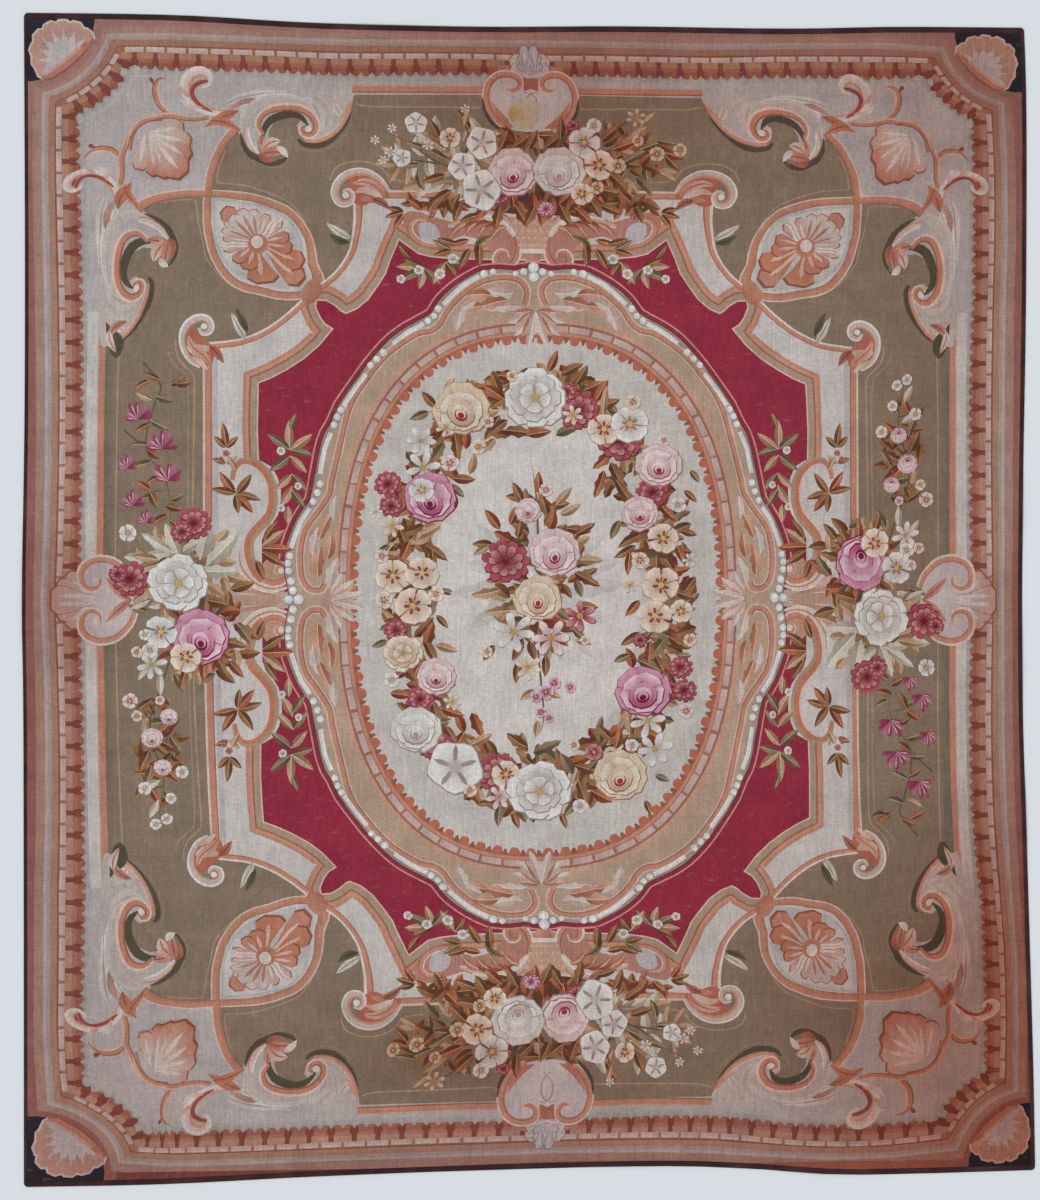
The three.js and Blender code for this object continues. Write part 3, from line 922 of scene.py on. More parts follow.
@dataclass
class Spandrel:
    """The scrollwork between a corner and the crossed straps."""

    cartoon: Cartoon

    def draw(self) -> None:
        """Lays one half from listed points and the rest by turning it over."""
        eight, four = Pen(self.cartoon, EIGHT), Pen(self.cartoon, FOUR)
        carver = Carver(eight)
        self.leaf_fan(Carver(four))
        self.wavy_strap(carver)
        self.shadows(eight)
        self.acanthus(carver)
        self.scroll(carver)
        self.rosette(Carver(four), carver)

    def leaf_fan(self, carver: Carver) -> None:
        """The cut leaf that lies on the corner's diagonal."""
        carver.pen.fill(blob(137, 172, 150, 180, 170, 181, 188, 180, 194, 166, 194, 146, 189, 131, 180, 150,
                             165, 160, 150, 168), "a19e99")
        carver.fan((146, 133), ((138, 157), (184, 127), (139, 170), (191, 143)), 0.42, "c0b4ae", "b99383",
                   "c9bdb6", "8f6555")
        carver.fan((149, 134), ((157, 176), (190, 159), (170, 177), (184, 176)), 0.44, "c2b2aa", "b1735c",
                   "cdb9ae", "86503f")

    def wavy_strap(self, carver: Carver) -> None:
        """The thin waved strap along the diagonal's two sides, with a hook."""
        carver.ribbon(points(166, 78.5, 159.5, 80, 155.6, 86, 156, 95, 160, 105, 168, 113), (1.6, 6.6, 5),
                      "c9a694", "b17d69", "935f4e")
        carver.ribbon(points(129, 150, 131, 137, 137, 126, 147, 119.5, 158, 117, 170, 115.6, 183, 118, 196,
                             119, 209, 117), (6, 6.4, 5), "c4a08e", "b17d69", "935f4e", steps=2)
        carver.pen.fill(petal((96, 148), 200, 8, 5, 0.6, 0.0, 7), "8a4b45")

    def shadows(self, pen: Pen) -> None:
        """The moss-dark shadows of the scroll on the olive ground."""
        for flat, widths in (
            ((241, 133, 243, 144, 250, 154, 261, 161, 273, 163, 283, 161, 289, 155), (1, 7, 1)),
            ((262, 140, 264, 130, 270, 121, 280, 116, 292, 114, 302, 118, 308, 126), (3, 8, 2)),
            ((298, 139, 303, 144, 313, 146, 325, 144, 336, 136, 346, 124, 352, 112), (2, 6, 0.5)),
        ):
            path = smooth(points(*flat), steps=2)
            half = swell(len(path), *widths) / 2
            pen.fill(band(path, half, -half), Wool.MOSS)
        line = smooth(points(352, 124, 342, 139, 328, 149, 312, 152, 298, 147, 291, 136, 289, 130, 287, 145,
                             288, 160, 280, 167, 268, 167, 252, 160), steps=2)
        pen.fill(band(line, 0.5, -0.5), "8e7b67")

    def acanthus(self, carver: Carver) -> None:
        """The curled leaf above the strap and the leaves that sweep along the border."""
        carver.leaf(points(222, 106, 240, 98, 262, 94, 290, 92), 9, "b5aba6", "c9c3bf", "a08d84")
        carver.leaf(points(236, 112, 256, 102, 282, 98, 305, 99), 12, "c9c2bd", "c4bfbb", "ab9a91")
        carver.leaf(points(228, 110, 246, 101, 264, 101), 6, "b58c7c", "8d6f67")
        carver.ribbon(points(226, 113, 212, 112, 200, 107, 191, 99, 186, 90, 187, 80, 194, 73, 203, 72,
                             209, 77, 208, 84, 202, 87), (5, 12, 3), "c9bfba", "c5b0a6", "b98c7a", 0.4)
        carver.ribbon(points(212, 112, 200, 106, 192, 96, 193, 87, 201, 82, 208, 81), (2, 5.5, 3), "b87c66",
                      "8f4b44", "6b3030", 0.25)
        carver.leaf(points(192, 98, 183, 92, 177, 82), 5, "b58c7c", "c5a89b")
        carver.leaf(points(204, 108, 188, 106, 180, 98), 5, "bb9585", "c9bfba")

    def scroll(self, carver: Carver) -> None:
        """The rust calyx, the C-shaped scroll with its coil, and the curled tip below it."""
        pen = carver.pen
        carver.leaf(points(205, 127, 218, 120, 230, 114, 239, 111), 10, "b9806a", "a4664f", "8c5443")
        carver.leaf(points(210, 121, 224, 122, 240, 130), 9, "a9694f", "b98069", "8c5443")
        pen.fill(blob(309, 94, 322, 101, 330, 111, 331, 123, 325, 134, 314, 141, 325, 139, 337, 130,
                      346, 117, 353, 100, 352, 92, 330, 90), "b1a59e")
        carver.ribbon(points(353, 99, 347, 116, 337, 130, 325, 138, 312, 141, 303, 137), (2, 5.5, 3),
                      "b57a65", "bd8e7c", "c9b5aa")
        carver.leaf(points(344, 117, 337, 110, 335, 101), 8, "c9bdb6", "b7aba4", "b08f80")
        carver.leaf(points(351, 102, 346, 113, 338, 122), 5, "b9806a", "c0a294")
        carver.ribbon(points(316, 96, 326, 106, 328, 120, 322, 132), (3, 9, 3), "b7aba4", "ada39c", "aa988e")
        carver.ribbon(points(300, 98, 314, 103, 322, 114, 321, 126, 316, 135), (3, 8, 3), "b9aea7", "b8aca5",
                      "b39486")
        carver.ribbon(points(244, 131, 243, 122, 249, 110, 260, 103, 276, 100, 294, 101, 308, 106, 316, 117),
                      (4, 11, 4), "bab0aa", "b3a69f", "b9a79d")
        carver.ribbon(points(263, 135, 258, 126, 261, 116, 270, 110, 284, 107, 298, 108, 309, 113, 316, 122,
                             316, 131, 310, 136, 303, 134, 301, 128, 306, 125), (5, 8.4, 3), "d0b5a9",
                      "b57d67", "975c4a")
        pen.fill(ring((308.5, 129), 3.2, 3.2, 9), "cfc4bd")
        carver.leaf(points(262, 134, 262, 146, 271, 155), 9, "b07a65", "b9907f", "8c5443")
        carver.ribbon(points(247, 127, 247, 137, 251, 147, 259, 154), (4, 7, 3), "cfc6c0", "c2aaa0",
                      "ad7e6d")
        carver.leaf(points(260, 153, 270, 143, 281, 141), 11, "b88370", "cbb8ae", "a06a57")
        carver.leaf(points(260, 155, 272, 152, 285, 153), 10, "a96d58", "b9887a", "8c5443")
        carver.leaf(points(276, 146, 283, 151, 288, 158), 7, "c4aca2", "cfc9c4")
        carver.leaf(points(258, 155, 266, 160, 278, 160), 6, "8f4f42", "a96d5a")

    def rosette(self, middle: Carver, sides: Carver) -> None:
        """The rosette of cut leaves in the lens of the straps."""
        sides.pen.fill(blob(258, 243, 292, 232, 305, 258, 306, 284, 296, 290), "b0aaa6")
        core = (257.5, 242.5)
        for carver, tips, breadth, near, far, rib, edge in (
            (middle, ((223, 209), (302, 282)), 0.36, "a96b57", "b57f6c", "c6a89b", "8c5344"),
            (sides, ((303, 264), (292, 248)), 0.4, "a5654f", "b4775f", "c3a090", "8c5344"),
            (sides, ((240, 209), (253, 209)), 0.34, "b3a19a", "bdb0aa", "ad7663", "a56854"),
            (sides, ((267, 214), (281, 220)), 0.34, "b08d80", "bd9f93", "cbb9b0", "96594a"),
            (sides, ((289, 236),), 0.36, "a96b57", "b57f6c", "c6a89b", "8c5344"),
            (middle, ((230, 216),), 0.34, "b7aaa4", "b9aca6", "a97260", "a56854"),
        ):
            carver.fan(core, tips, breadth, near, far, rib, edge)
        sides.leaf(points(258, 241, 267, 234, 274, 222, 284, 220), 7, "c9beb8", "cdc3bd", "b58d7e")
        middle.pen.fill(ring((258, 244), 10.5, 10.5, 10), "a05f4c", "b27a66", (258, 244), (269, 244), True)
        middle.pen.fill(ring((257.2, 242), 6.2, 6.6, 10), "c9bdb6", "c4b3aa", (256, 240), (262, 246))


@dataclass
class StrapFrame:
    """The straps and coils between the crossed straps and the crimson field, with their small leaves."""

    cartoon: Cartoon

    def draw(self) -> None:
        """Lays the thin lines, the knot, the coils at its two ends and the brackets."""
        pen = Pen(self.cartoon, FOUR)
        carver = Carver(pen)
        self.lines(pen)
        self.knot(carver)
        self.top_coil(carver)
        self.side_coil(carver)
        self.bracket(carver)

    def lines(self, pen: Pen) -> None:
        """The thin lines on the olive ground."""
        for flat in (
            (330, 180, 334, 170, 343, 164, 356, 161.5, 371, 163, 383, 169, 389, 177, 400, 181, 440, 181.5,
             538, 182),
            (176, 340, 176, 350, 180, 361, 187, 368, 193, 375, 194.5, 385, 193.5, 450, 192.5, 520,
             191.5, 603),
            (122, 340, 119, 352, 117, 420, 116, 500, 115, 603),
            (356, 104, 372, 107, 420, 107, 480, 108),
        ):
            pen.fill(band(smooth(points(*flat), steps=2), 0.8, -0.7), "a38872")
        inner = smooth(points(168, 352, 172, 362, 184, 373, 188, 385, 188.5, 450, 187.5, 520, 186.5, 603),
                       steps=2)
        pen.fill(band(inner, 0.6, -0.5), "9a836c")

    def knot(self, carver: Carver) -> None:
        """The straps that leave the crossing at the field's corner."""
        carver.ribbon(points(317, 290, 332.9, 278.2, 343, 267, 350, 255.7, 353.5, 246.7, 356.5, 231.4,
                             358, 218, 358, 203), (7, 7.4, 10), "cfc3bc", "b8826d", "a76c56")
        carver.ribbon(points(206, 346, 223.4, 344.5, 239.6, 342.3, 255.9, 336.9, 272.2, 328.2, 288.4, 316.3,
                             300.3, 305.4, 307, 299), (7, 7, 7), "cfc3bc", "b8826d", "a76c56")
        carver.pen.fill(blob(304, 286, 313, 279, 321, 284, 322, 292, 316, 301, 307, 304, 300, 297), "b8826d",
                        "9f6652", (304, 284), (318, 300))

    def top_coil(self, carver: Carver) -> None:
        """The coil beside the top strap, its cut leaf, and the strap itself."""
        pen = carver.pen
        carver.ribbon(points(376, 194.5, 400, 194.5, 440, 194, 490, 193.6, 542, 193.4), (8, 8.4, 8.4),
                      "c8b5aa", "b5806b", "a06853", 0.25, steps=2)
        pen.fill(blob(348, 178, 360, 174, 374, 177, 384, 186, 390, 197, 378, 199, 366, 205, 354, 203),
                 "a9624e")
        carver.leaf(points(386, 198, 378, 188, 364, 182, 352, 184), 9, "b27a64", "c3a497", "a0624e")
        carver.leaf(points(384, 200, 374, 193, 362, 190, 352, 194), 7, "c6b7af", "b98f7f")
        carver.leaf(points(378, 203, 368, 199, 360, 200), 6, "a3644e", "b98673")
        carver.leaf(points(372, 199, 381, 202, 391, 210), 8, "8f4f42", "a8715f", "733c34")
        carver.ribbon(points(389, 192, 383, 183, 376, 177, 367, 172.6, 355.5, 172, 344, 176.5, 336.5, 185.5,
                             335, 195, 340, 203, 349, 203, 352.5, 196.5, 349, 190.5, 343, 192), (4, 8.6, 3),
                      "b9856f", "b9a79d", "d0c9c4", 0.3)
        pen.fill(ring((345.6, 195.4), 3.4, 3.4, 9), "d0c9c4")
        for flat, skein in (((352, 239, 340, 233, 326, 223), ("b3ac9e", "cac5bc", "8a8274")),
                            ((350, 243, 338, 240, 329, 234), ("4d4636", "6a614c", "3d3629"))):
            carver.leaf(points(*flat), 8, *skein)

    def side_coil(self, carver: Carver) -> None:
        """The coil at the head of the upright strap, its leaf, and the strap."""
        pen = carver.pen
        carver.ribbon(points(207.6, 603, 207.8, 540, 207.6, 450, 207.4, 362), (9.4, 9.4, 9), "c9b3a7",
                      "b37d69", "9c6552", 0.22, steps=2)
        pen.fill(points(212.3, 603, 212.3, 360, 218, 358, 219, 603), "aea5a5")
        pen.fill(blob(186, 352, 184, 338, 190, 328, 204, 338, 214, 350, 212, 364, 200, 366), "a9624e")
        pen.fill(blob(188, 345, 209, 346, 206, 353, 198, 357, 190, 352), "c9bdb6", "b39a8f")
        carver.leaf(points(212, 366, 204, 356, 192, 346, 188, 334), 9, "b27a64", "c3a497", "a0624e")
        carver.leaf(points(208, 370, 200, 362, 190, 356), 6, "c6b7af", "b98f7f")
        carver.leaf(points(210, 346, 217, 353, 224, 363), 9, "8f4f42", "a8715f", "733c34")
        pen.fill(blob(106, 322, 112, 330, 119, 333, 124, 342, 121, 354, 115, 358, 108, 346), Wool.MOSS)
        carver.leaf(points(127, 321, 118, 325, 112, 331, 110, 339), 8, "a2624d", "b9907f", "8c5443")
        carver.leaf(points(109, 330, 110, 341, 116, 353), 8, "cbc0ba", "b89a8d", "a0624e")
        carver.ribbon(points(200, 367, 190, 360, 183.5, 348, 182.5, 335, 187, 325, 195, 319, 204, 318,
                             210.5, 323, 210, 331, 203, 333.5, 199, 328), (3, 8.4, 3), "d0c9c4", "b9a79d",
                      "b9856f", 0.3)
        pen.fill(ring((204, 326.5), 3.2, 3.2, 9), "d0c9c4")
        for flat, skein in (((246, 340, 239, 328, 231, 312), ("b3ac9e", "cac5bc", "8a8274")),
                            ((248, 333, 242, 320, 236, 308), ("4d4636", "6a614c", "3d3629"))):
            carver.leaf(points(*flat), 8, *skein)

    def bracket(self, carver: Carver) -> None:
        """The bracket over the medallion: coiled feet, leafy arms and the basket between them."""
        pen = carver.pen
        pen.fill(blob(404, 214, 420, 212, 452, 222, 486, 214, 508, 220, 518, 236, 514, 262, 500, 264,
                      486, 244, 462, 236, 440, 246, 416, 244, 406, 232), "a9776a")
        pen.fill(blob(418, 226, 426, 222, 436, 226, 440, 236, 434, 242, 422, 240), "b3a9ab")
        carver.ribbon(points(450, 242, 436, 246, 422, 243.5, 412.5, 236, 410, 226, 416, 219, 426, 219.5),
                      (4, 7, 3), "a96d58", "b9856f", "cbb9ae")
        carver.ribbon(points(516, 236, 508, 224, 498, 217.5, 484, 216.5, 468, 220, 448, 226), (6, 13, 4),
                      "cbb9ae", "b9a095", "b07761", 0.3)
        for flat in ((508, 226, 498, 230, 490, 240), (498, 222, 486, 226, 478, 236),
                     (484, 220, 472, 226, 464, 236), (470, 222, 458, 228, 450, 238)):
            carver.leaf(points(*flat), 8, "b27a64", "99604e", "c6a898")
        for flat in ((500, 226, 492, 224, 484, 228), (490, 222, 481, 222, 474, 227),
                     (478, 221, 470, 223, 464, 228)):
            carver.leaf(points(*flat), 5, "8a4b3b", "a3644e", "733c34")
        carver.leaf(points(474, 252, 481, 240, 493, 235), 7, "5d4a32", "907a54", "413524")
        carver.ribbon(points(520, 247, 517, 236, 510, 227, 501, 220, 489, 216, 475, 215.5, 460, 219),
                      (2, 4.4, 2), "cfc6bf", "cabdb4", "b79d8f", 0.4)
        carver.ribbon(points(516, 236, 519, 248, 516, 260, 508, 268, 499, 266.5, 495.5, 259, 499, 252,
                             506, 252.5, 508, 258), (5, 8, 3), "cdb9ae", "b57d67", "975c4a")
        pen.fill(points(509, 216, 538, 216, 538, 249, 521, 249), "ba917c")
        for k in range(4):
            row = 219.5 + 7.4 * k
            for i in range(4):
                left = 511.5 + 6.6 * i + 1.9 * k * (1 - i / 4)
                pen.fill(ring((left + 2.2, row + 2.6), 2.2, 2.6, 7), "a5735f", "c9b0a2", (left, row),
                         (left + 4, row + 5))
        pen.fill(points(508, 213.5, 540, 213.5, 540, 217, 508.5, 217), "c9b3a6")
        pen.fill(points(520, 249, 540, 249, 540, 253.4, 519, 253.4), "cabfb8")
        pen.fill(points(523, 253.4, 540, 253.4, 540, 266, 528, 264), "a56853", "bb8a75", (524, 254),
                 (538, 264))

    def side_scroll(self, carver: Carver) -> None:
        """The long S-shaped scroll beside the field and the fan at the middle of each side."""
        pen = carver.pen
        pen.fill(blob(212, 586, 206, 594, 204, 603, 240, 603, 292, 603, 290, 592, 276, 592, 258, 588,
                      244, 578, 238, 562, 236, 575, 226, 580), "b39b90")
        for tip in ((208, 584), (204, 592), (202, 601)):
            carver.leaf(np.array([(286, 600), (245, 594), tip]), 10, "a3644e", "c1a094", "cdb8ad")
        pen.fill(points(232, 594.5, 278, 594.5, 278, 603, 232, 603), "aa8a78")
        path = points(233, 480, 234.8, 470, 240.5, 462.5, 249.7, 461.8, 258.9, 466.4, 265.8, 473.3,
                      270.4, 482.5, 272, 491.7, 272, 503, 269.2, 513.5, 263.5, 521.5, 256.6, 528.4,
                      250.8, 535.3, 248, 543.3, 248, 552.5, 250.8, 564, 255.4, 573.2, 262.3, 580,
                      271.5, 583.5, 280.7, 582.3, 287.6, 576.6, 289, 569.7, 285.3, 565, 279.5, 565.5,
                      277, 570)
        carver.ribbon(path, (6, 12.5, 4), "a1856f", "b0705a", "c6b0a4", 0.32, steps=2)
        carver.ribbon(points(238.2, 552, 239.4, 566, 247.4, 579, 258.9, 587.5, 272.7, 590.4, 288, 587),
                      (3, 6, 3), "b27a64", "c6b3a8", "cfc6c0", 0.3)
        pen.fill(blob(266, 560, 274, 559, 284, 562, 288, 569, 285, 577, 276, 581, 266, 578, 260, 570),
                 "b28874")
        carver.ribbon(points(262.3, 580, 271.5, 583.5, 280.7, 582.3, 287.6, 576.6, 289, 569.7, 285.3, 565,
                             279.5, 565.5, 276, 570, 279, 574.5), (7, 6.6, 3), "b0705a", "b87f69", "cdbab0",
                      0.3)
        pen.fill(ring((281, 570.6), 3.4, 3.4, 9), "cdbfb7")


@dataclass
class Crests:
    """The crests that break into the border at the middle of each side."""

    cartoon: Cartoon

    def draw(self) -> None:
        """Lays half of each crest and turns it over, then the stain that the top one has."""
        carver = Carver(Pen(self.cartoon, FOUR))
        self.upper(carver)
        self.side(carver)
        stain = Pen(self.cartoon)
        stain.fill(blob(507, 108, 516, 99, 528, 98, 538, 104, 540, 118, 534, 128, 520, 130, 509, 122),
                   "bda56a", "bab1a8", (526, 116), (543, 122), True)
        stain.fill(ring((514, 114), 6, 8, 10), "b07a45", "b9a477", (513, 115), (521, 115), True)

    def upper(self, carver: Carver) -> None:
        """The top crest: a coil, its arm, the pale cup and the cut leaf above."""
        pen = carver.pen
        pen.fill(blob(488, 92, 496, 80, 510, 77, 520, 84, 532, 90, 538, 90, 538, 128, 516, 131, 500, 123,
                      490, 108), "b6adae", "c0b8b5", (490, 84), (534, 128))
        carver.ribbon(points(538, 93, 531, 93, 525, 100, 526, 112, 534, 120), (2, 3, 1), "a3827a", "b39c96",
                      "cfc8c6")
        pen.fill(points(538, 60, 538, 92, 531, 89, 521, 80, 514, 71, 506, 71, 497, 72, 497, 66, 517, 65),
                 "9f6553", "a9776a", (536, 88), (520, 64))
        carver.fan((536, 79), ((511, 56), (511, 66), (518, 73)), 0.42, "a08e87", "bbb0ac", "c6bfbc",
                   "8f675c")
        for heading, long in ((-148, 21), (-131, 26), (-113, 29), (-97, 30)):
            foot = np.array((536.2, 75.6))
            pen.fill(petal(foot, heading, long + 1.2, 10.5, 1.1, 0.0, 9), "84747b")
            pen.fill(petal(foot, heading, long, 9, 1.1, 0.0, 9), "95878c", "b4adae", foot,
                     foot + toward(heading, long))
            pen.fill(petal(foot, heading, 0.9 * long, 2.2, 0.8, 0.0, 6), "bfb9ba")
        carver.leaf(points(519, 128, 506, 122, 497, 112, 491, 100), 7, "a86854", "b9857a")
        carver.ribbon(points(506, 88, 512.5, 91.5, 519, 88.5, 520.5, 82, 516, 76.5, 507.5, 74, 497.5, 75.5,
                             489, 83, 485.5, 96, 488.5, 109, 494, 118, 501, 124.5, 511, 130), (3, 8, 5),
                      "a9705c", "b98673", "cdbbb1", 0.3)
        pen.fill(ring((509, 86), 3.6, 3.6, 9), "c6b2a8")
        shadow = smooth(points(482, 98, 483, 111, 489, 122, 498, 130, 510, 135), steps=2)
        pen.fill(band(shadow, swell(len(shadow), 1, 4, 0.5), 0), Wool.MOSS)

    def side(self, carver: Carver) -> None:
        """The side crest: a coil above and below a fan that opens outwards."""
        pen = carver.pen
        pen.fill(blob(84, 572, 92, 562, 106, 559, 122, 566, 134, 580, 139, 602, 78, 602, 82, 590), "b4a6a6",
                 "c0b6b3", (84, 570), (128, 602))
        carver.fan((98, 604), ((66, 574), (56, 584), (51, 594), (50, 604)), 0.42, "b9a7a3", "b39087",
                   "c3b8b7", "8a5348")
        carver.ribbon(points(101, 578, 100.5, 585.5, 93.2, 590, 85, 587.5, 80.5, 580, 81, 570.4, 88, 562,
                             100.4, 558.4, 113.8, 561, 123, 567.5, 131, 577, 136, 590, 137, 602), (3, 8, 5),
                      "cdbbb1", "b98673", "a9705c", 0.3)
        pen.fill(ring((96, 579.5), 3.8, 3.8, 9), "c6b2a8")
        carver.leaf(points(132, 601, 118, 590, 106, 578), 9, "a96d58", "bd9484", "8f5545")


@dataclass
class Medallion:
    """The oval in the middle: pearls, a strap, the dashed ring and the pale inner oval."""

    cartoon: Cartoon
    middle: tuple[float, float] = (537.0, 596.0)
    dashes: int = 66
    scallops: int = 84

    # the string of pearls from the top middle round to the side middle, on the top left quarter
    STRING = points(538, 271, 523, 272.5, 515, 274.5, 500, 273, 487, 274, 479, 276, 461, 286.3, 448, 297,
                    441, 305, 434, 316, 424, 322.3, 408, 331, 392.4, 342.4, 377, 359, 366, 373, 357, 386,
                    342.6, 407, 334.5, 425, 328.5, 435, 323.5, 451, 319.1, 475, 314, 501, 308, 509,
                    300.2, 521.5, 293.3, 537.6, 289.9, 549, 288.5, 563, 289.5, 577, 292.2, 589, 294, 601)
    STRAP = points(524, 305, 526.5, 298, 526.5, 290, 522, 282.8, 514, 278.4, 497.4, 277.8, 479, 283,
                   462, 295, 447.5, 310.5, 440, 324.2, 430, 331.2, 417, 334, 390, 352, 368, 377, 350, 406,
                   341, 441, 332, 480, 329, 495, 316.8, 513.5, 305.3, 529.5, 300.6, 551, 300.8, 570,
                   303.8, 582, 311, 589.6, 321, 590, 324.5, 584)
    # the pearls on the top left quarter: column, row and radius
    PEARLS = np.array([
        484, 274, 4.4, 493, 272, 3.6, 515.6, 273.9, 3.2, 523.6, 271.8, 4, 438.4, 308.8, 4.2,
        434, 316, 3.6, 428, 321, 3.8, 383.5, 352.5, 4, 376.8, 359.2, 3.8, 370.6, 365.4, 3.8,
        341, 410, 3.8, 337.2, 417, 3.8, 334.2, 425, 3.8, 320.3, 484, 4, 317.4, 492.8, 3.8,
        313.4, 501.6, 3.8, 289.9, 556, 3.8, 288, 563.4, 3.8, 288.6, 571, 3.8, 291, 581, 4.2,
        293, 590.5, 4.2,
    ]).reshape(-1, 3)
    # the rods between them, each through three points
    RODS = ((479, 275.5, 461, 286.3, 442.8, 304), (423.7, 323, 408, 331.5, 392.4, 343),
            (365.6, 373.7, 354, 389, 342.8, 406), (330.5, 432.5, 323.7, 450, 319.6, 474),
            (309.4, 508, 299.5, 523, 290.2, 548))

    def draw(self) -> None:
        """Lays the medallion from its outside in, the side scrolls between its outermost lines."""
        pen = Pen(self.cartoon, FOUR)
        string = smooth(self.STRING, steps=2)
        rest = points(540, 602)
        for reach, wool in ((-10.2, "bd8a80"), (-8.6, "8c2b3e"), (-5.4, "6f3437"), (-3.8, "9a8b80")):
            pen.fill(np.vstack([grown(string, reach), rest]), wool)
        StrapFrame(self.cartoon).side_scroll(Carver(pen))
        for reach, wool in ((-4.6, "6f3437"), (-3.8, "9a8b80"), (2, "ab917d")):
            pen.fill(np.vstack([grown(string, reach), rest]), wool)
        self.frame(pen)
        self.rings()
        self.ornament(pen)
        self.string(pen)

    def frame(self, pen: Pen) -> None:
        """The curled strap inside the pearls."""
        path = smooth(self.STRAP, steps=3)
        pen.strap(path, (-4.4, -2.6, "c7aba0"), (-2.8, 2.0, Wool.RUST), (1.6, 2.9, Wool.RUST_DEEP),
                  (2.9, 4.2, "c2a99b"))

    def oval(self, wide: float, tall: float, count: int = 96, power: float = 2.4) -> Curve:
        """A squarish oval: |x / wide|^n + |y / tall|^n = 1, with n the power."""
        angle = np.linspace(0, 2 * math.pi, count, endpoint=False)
        c, s = np.cos(angle), np.sin(angle)
        x = np.sign(c) * np.abs(c) ** (2 / power) * wide
        y = np.sign(s) * np.abs(s) ** (2 / power) * tall
        return np.asarray(self.middle) + np.column_stack([x, y])

    def rings(self) -> None:
        """The rust lines, the pale dashes, the scallops and the pale ground, from outside in."""
        pen = Pen(self.cartoon)
        taller = 73.5  # how much taller than wide every ring is, from the middle
        for wide, wool in ((207, "a8947f"), (204.4, "b98f7a"), (199.6, "94655a"), (197.8, "a0685a")):
            pen.fill(self.oval(wide, wide + taller), wool)
        line, across, run = self.along(194.2, taller)
        step, half = run[-1] / self.dashes, 3.1
        for i in range(self.dashes):
            at = np.searchsorted(run, [(i + 0.06) * step, (i + 0.5) * step, (i + 0.94) * step])
            one, other = line[at] + half * across[at], line[at] - half * across[at]
            outline = np.vstack([one, other[::-1]])
            pen.fill(outline, "bfa79f", "b1968e", outline[0], outline[2])
        for wide, wool in ((190.3, "b5826c"), (187.4, "a9624d"), (184.6, "bcb5af")):
            pen.fill(self.oval(wide, wide + taller), wool)
        line, across, run = self.along(184.8, taller)
        step = run[-1] / self.scallops
        bow = np.linspace(0.0, 1.0, 7)
        for i in range(self.scallops):
            for first, last, deep, wool in ((0.02, 0.68, 6.2, "ac6650"), (0.7, 1.0, 4.2, "8d5747")):
                at = np.searchsorted(run, (i + first + (last - first) * bow[:: 1 if deep > 5 else 2]) * step)
                at = np.minimum(at, len(line) - 1)
                share = np.linspace(-1.0, 1.0, len(at))
                curve = line[at] - across[at] * (0.4 + deep * np.sqrt(1 - share**2))[:, None]
                feet = at[[-1, 0]]
                pen.fill(np.vstack([curve, line[feet] + 1.5 * across[feet]]), wool)
        pen.fill(ring((537, 590), 104, 176, 40), "d3cdc9", "c8c1bc", (537, 590), (641, 590), True)

    def along(self, wide: float, taller: float) -> tuple[Curve, Curve, Curve]:
        """A ring's points, their unit vectors outwards and how far round they lie."""
        line = self.oval(wide, wide + taller, 900)
        run = np.concatenate([[0], np.cumsum(np.linalg.norm(np.diff(line, axis=0), axis=1))])
        return line, sideways(line), run

    def ornament(self, pen: Pen) -> None:
        """The palmettes and the curled leaves between the strap and the ring."""
        florist = Florist(pen, 21)
        rust = Skein("8a5744", "b0775f", "c9a08c", "d4b8aa", "9a5c48")
        pale = Skein("a58f84", "baa69b", "cbbdb4", "d6cbc3")
        for base, axis in (((535, 312), 90), ((331, 600), 0)):
            turn = 1 if axis else -1
            for lean, size, wide, skein in ((84, 22, 8, rust), (64, 30, 10, pale), (52, 24, 8, rust),
                                            (36, 32, 11, pale), (24, 28, 8, rust), (8, 36, 12, pale)):
                florist.leaf(base, axis + turn * lean, size, wide, skein, turn * 8)
        for base, heading, length, width, skein, bend in (
            ((521, 307), 190, 36, 13, pale, -25), ((514, 293), 165, 28, 15, pale, 40),
            ((508, 300), 175, 36, 14, rust, -20), ((492, 295), 190, 26, 11, rust, -20),
            ((484, 306), 190, 30, 11, rust, -60), ((476, 302), 170, 22, 9, pale, -40),
            ((463, 307), 118, 25, 13, pale, -20), ((329, 588), 276, 32, 15, pale, 20),
            ((318, 578), 262, 34, 14, rust, 24), ((313, 556), 268, 32, 13, pale, 30),
            ((327, 560), 290, 28, 11, rust, -20), ((319, 540), 285, 32, 12, rust, 20),
            ((334, 520), 268, 24, 10, pale, 10),
        ):
            florist.leaf(base, heading, length, width, skein, bend)

    def string(self, pen: Pen) -> None:
        """The pearls and the rods that they are strung with."""
        for flat in self.RODS:
            path = smooth(points(*flat), steps=4)
            pen.strap(path, (-3.6, -1.8, "8d7a74"), (-1.8, 3.0, Wool.PEARL), (1.0, 2.4, "d6d4d1"), chunk=20)
        for column, row, radius in self.PEARLS:
            self.pearl(pen, (column, row), radius)
        self.pearl(Pen(self.cartoon, FOUR[:2]), (533.4, 267.4), 5.6)
        self.pearl(Pen(self.cartoon, FOUR[:2]), (533.8, 277), 5.4)
        self.pearl(Pen(self.cartoon, (FOUR[0], FOUR[2])), (288.5, 599.5), 4.6)
        self.pearl(Pen(self.cartoon, (FOUR[0], FOUR[2])), (298.5, 599.5), 5.4)

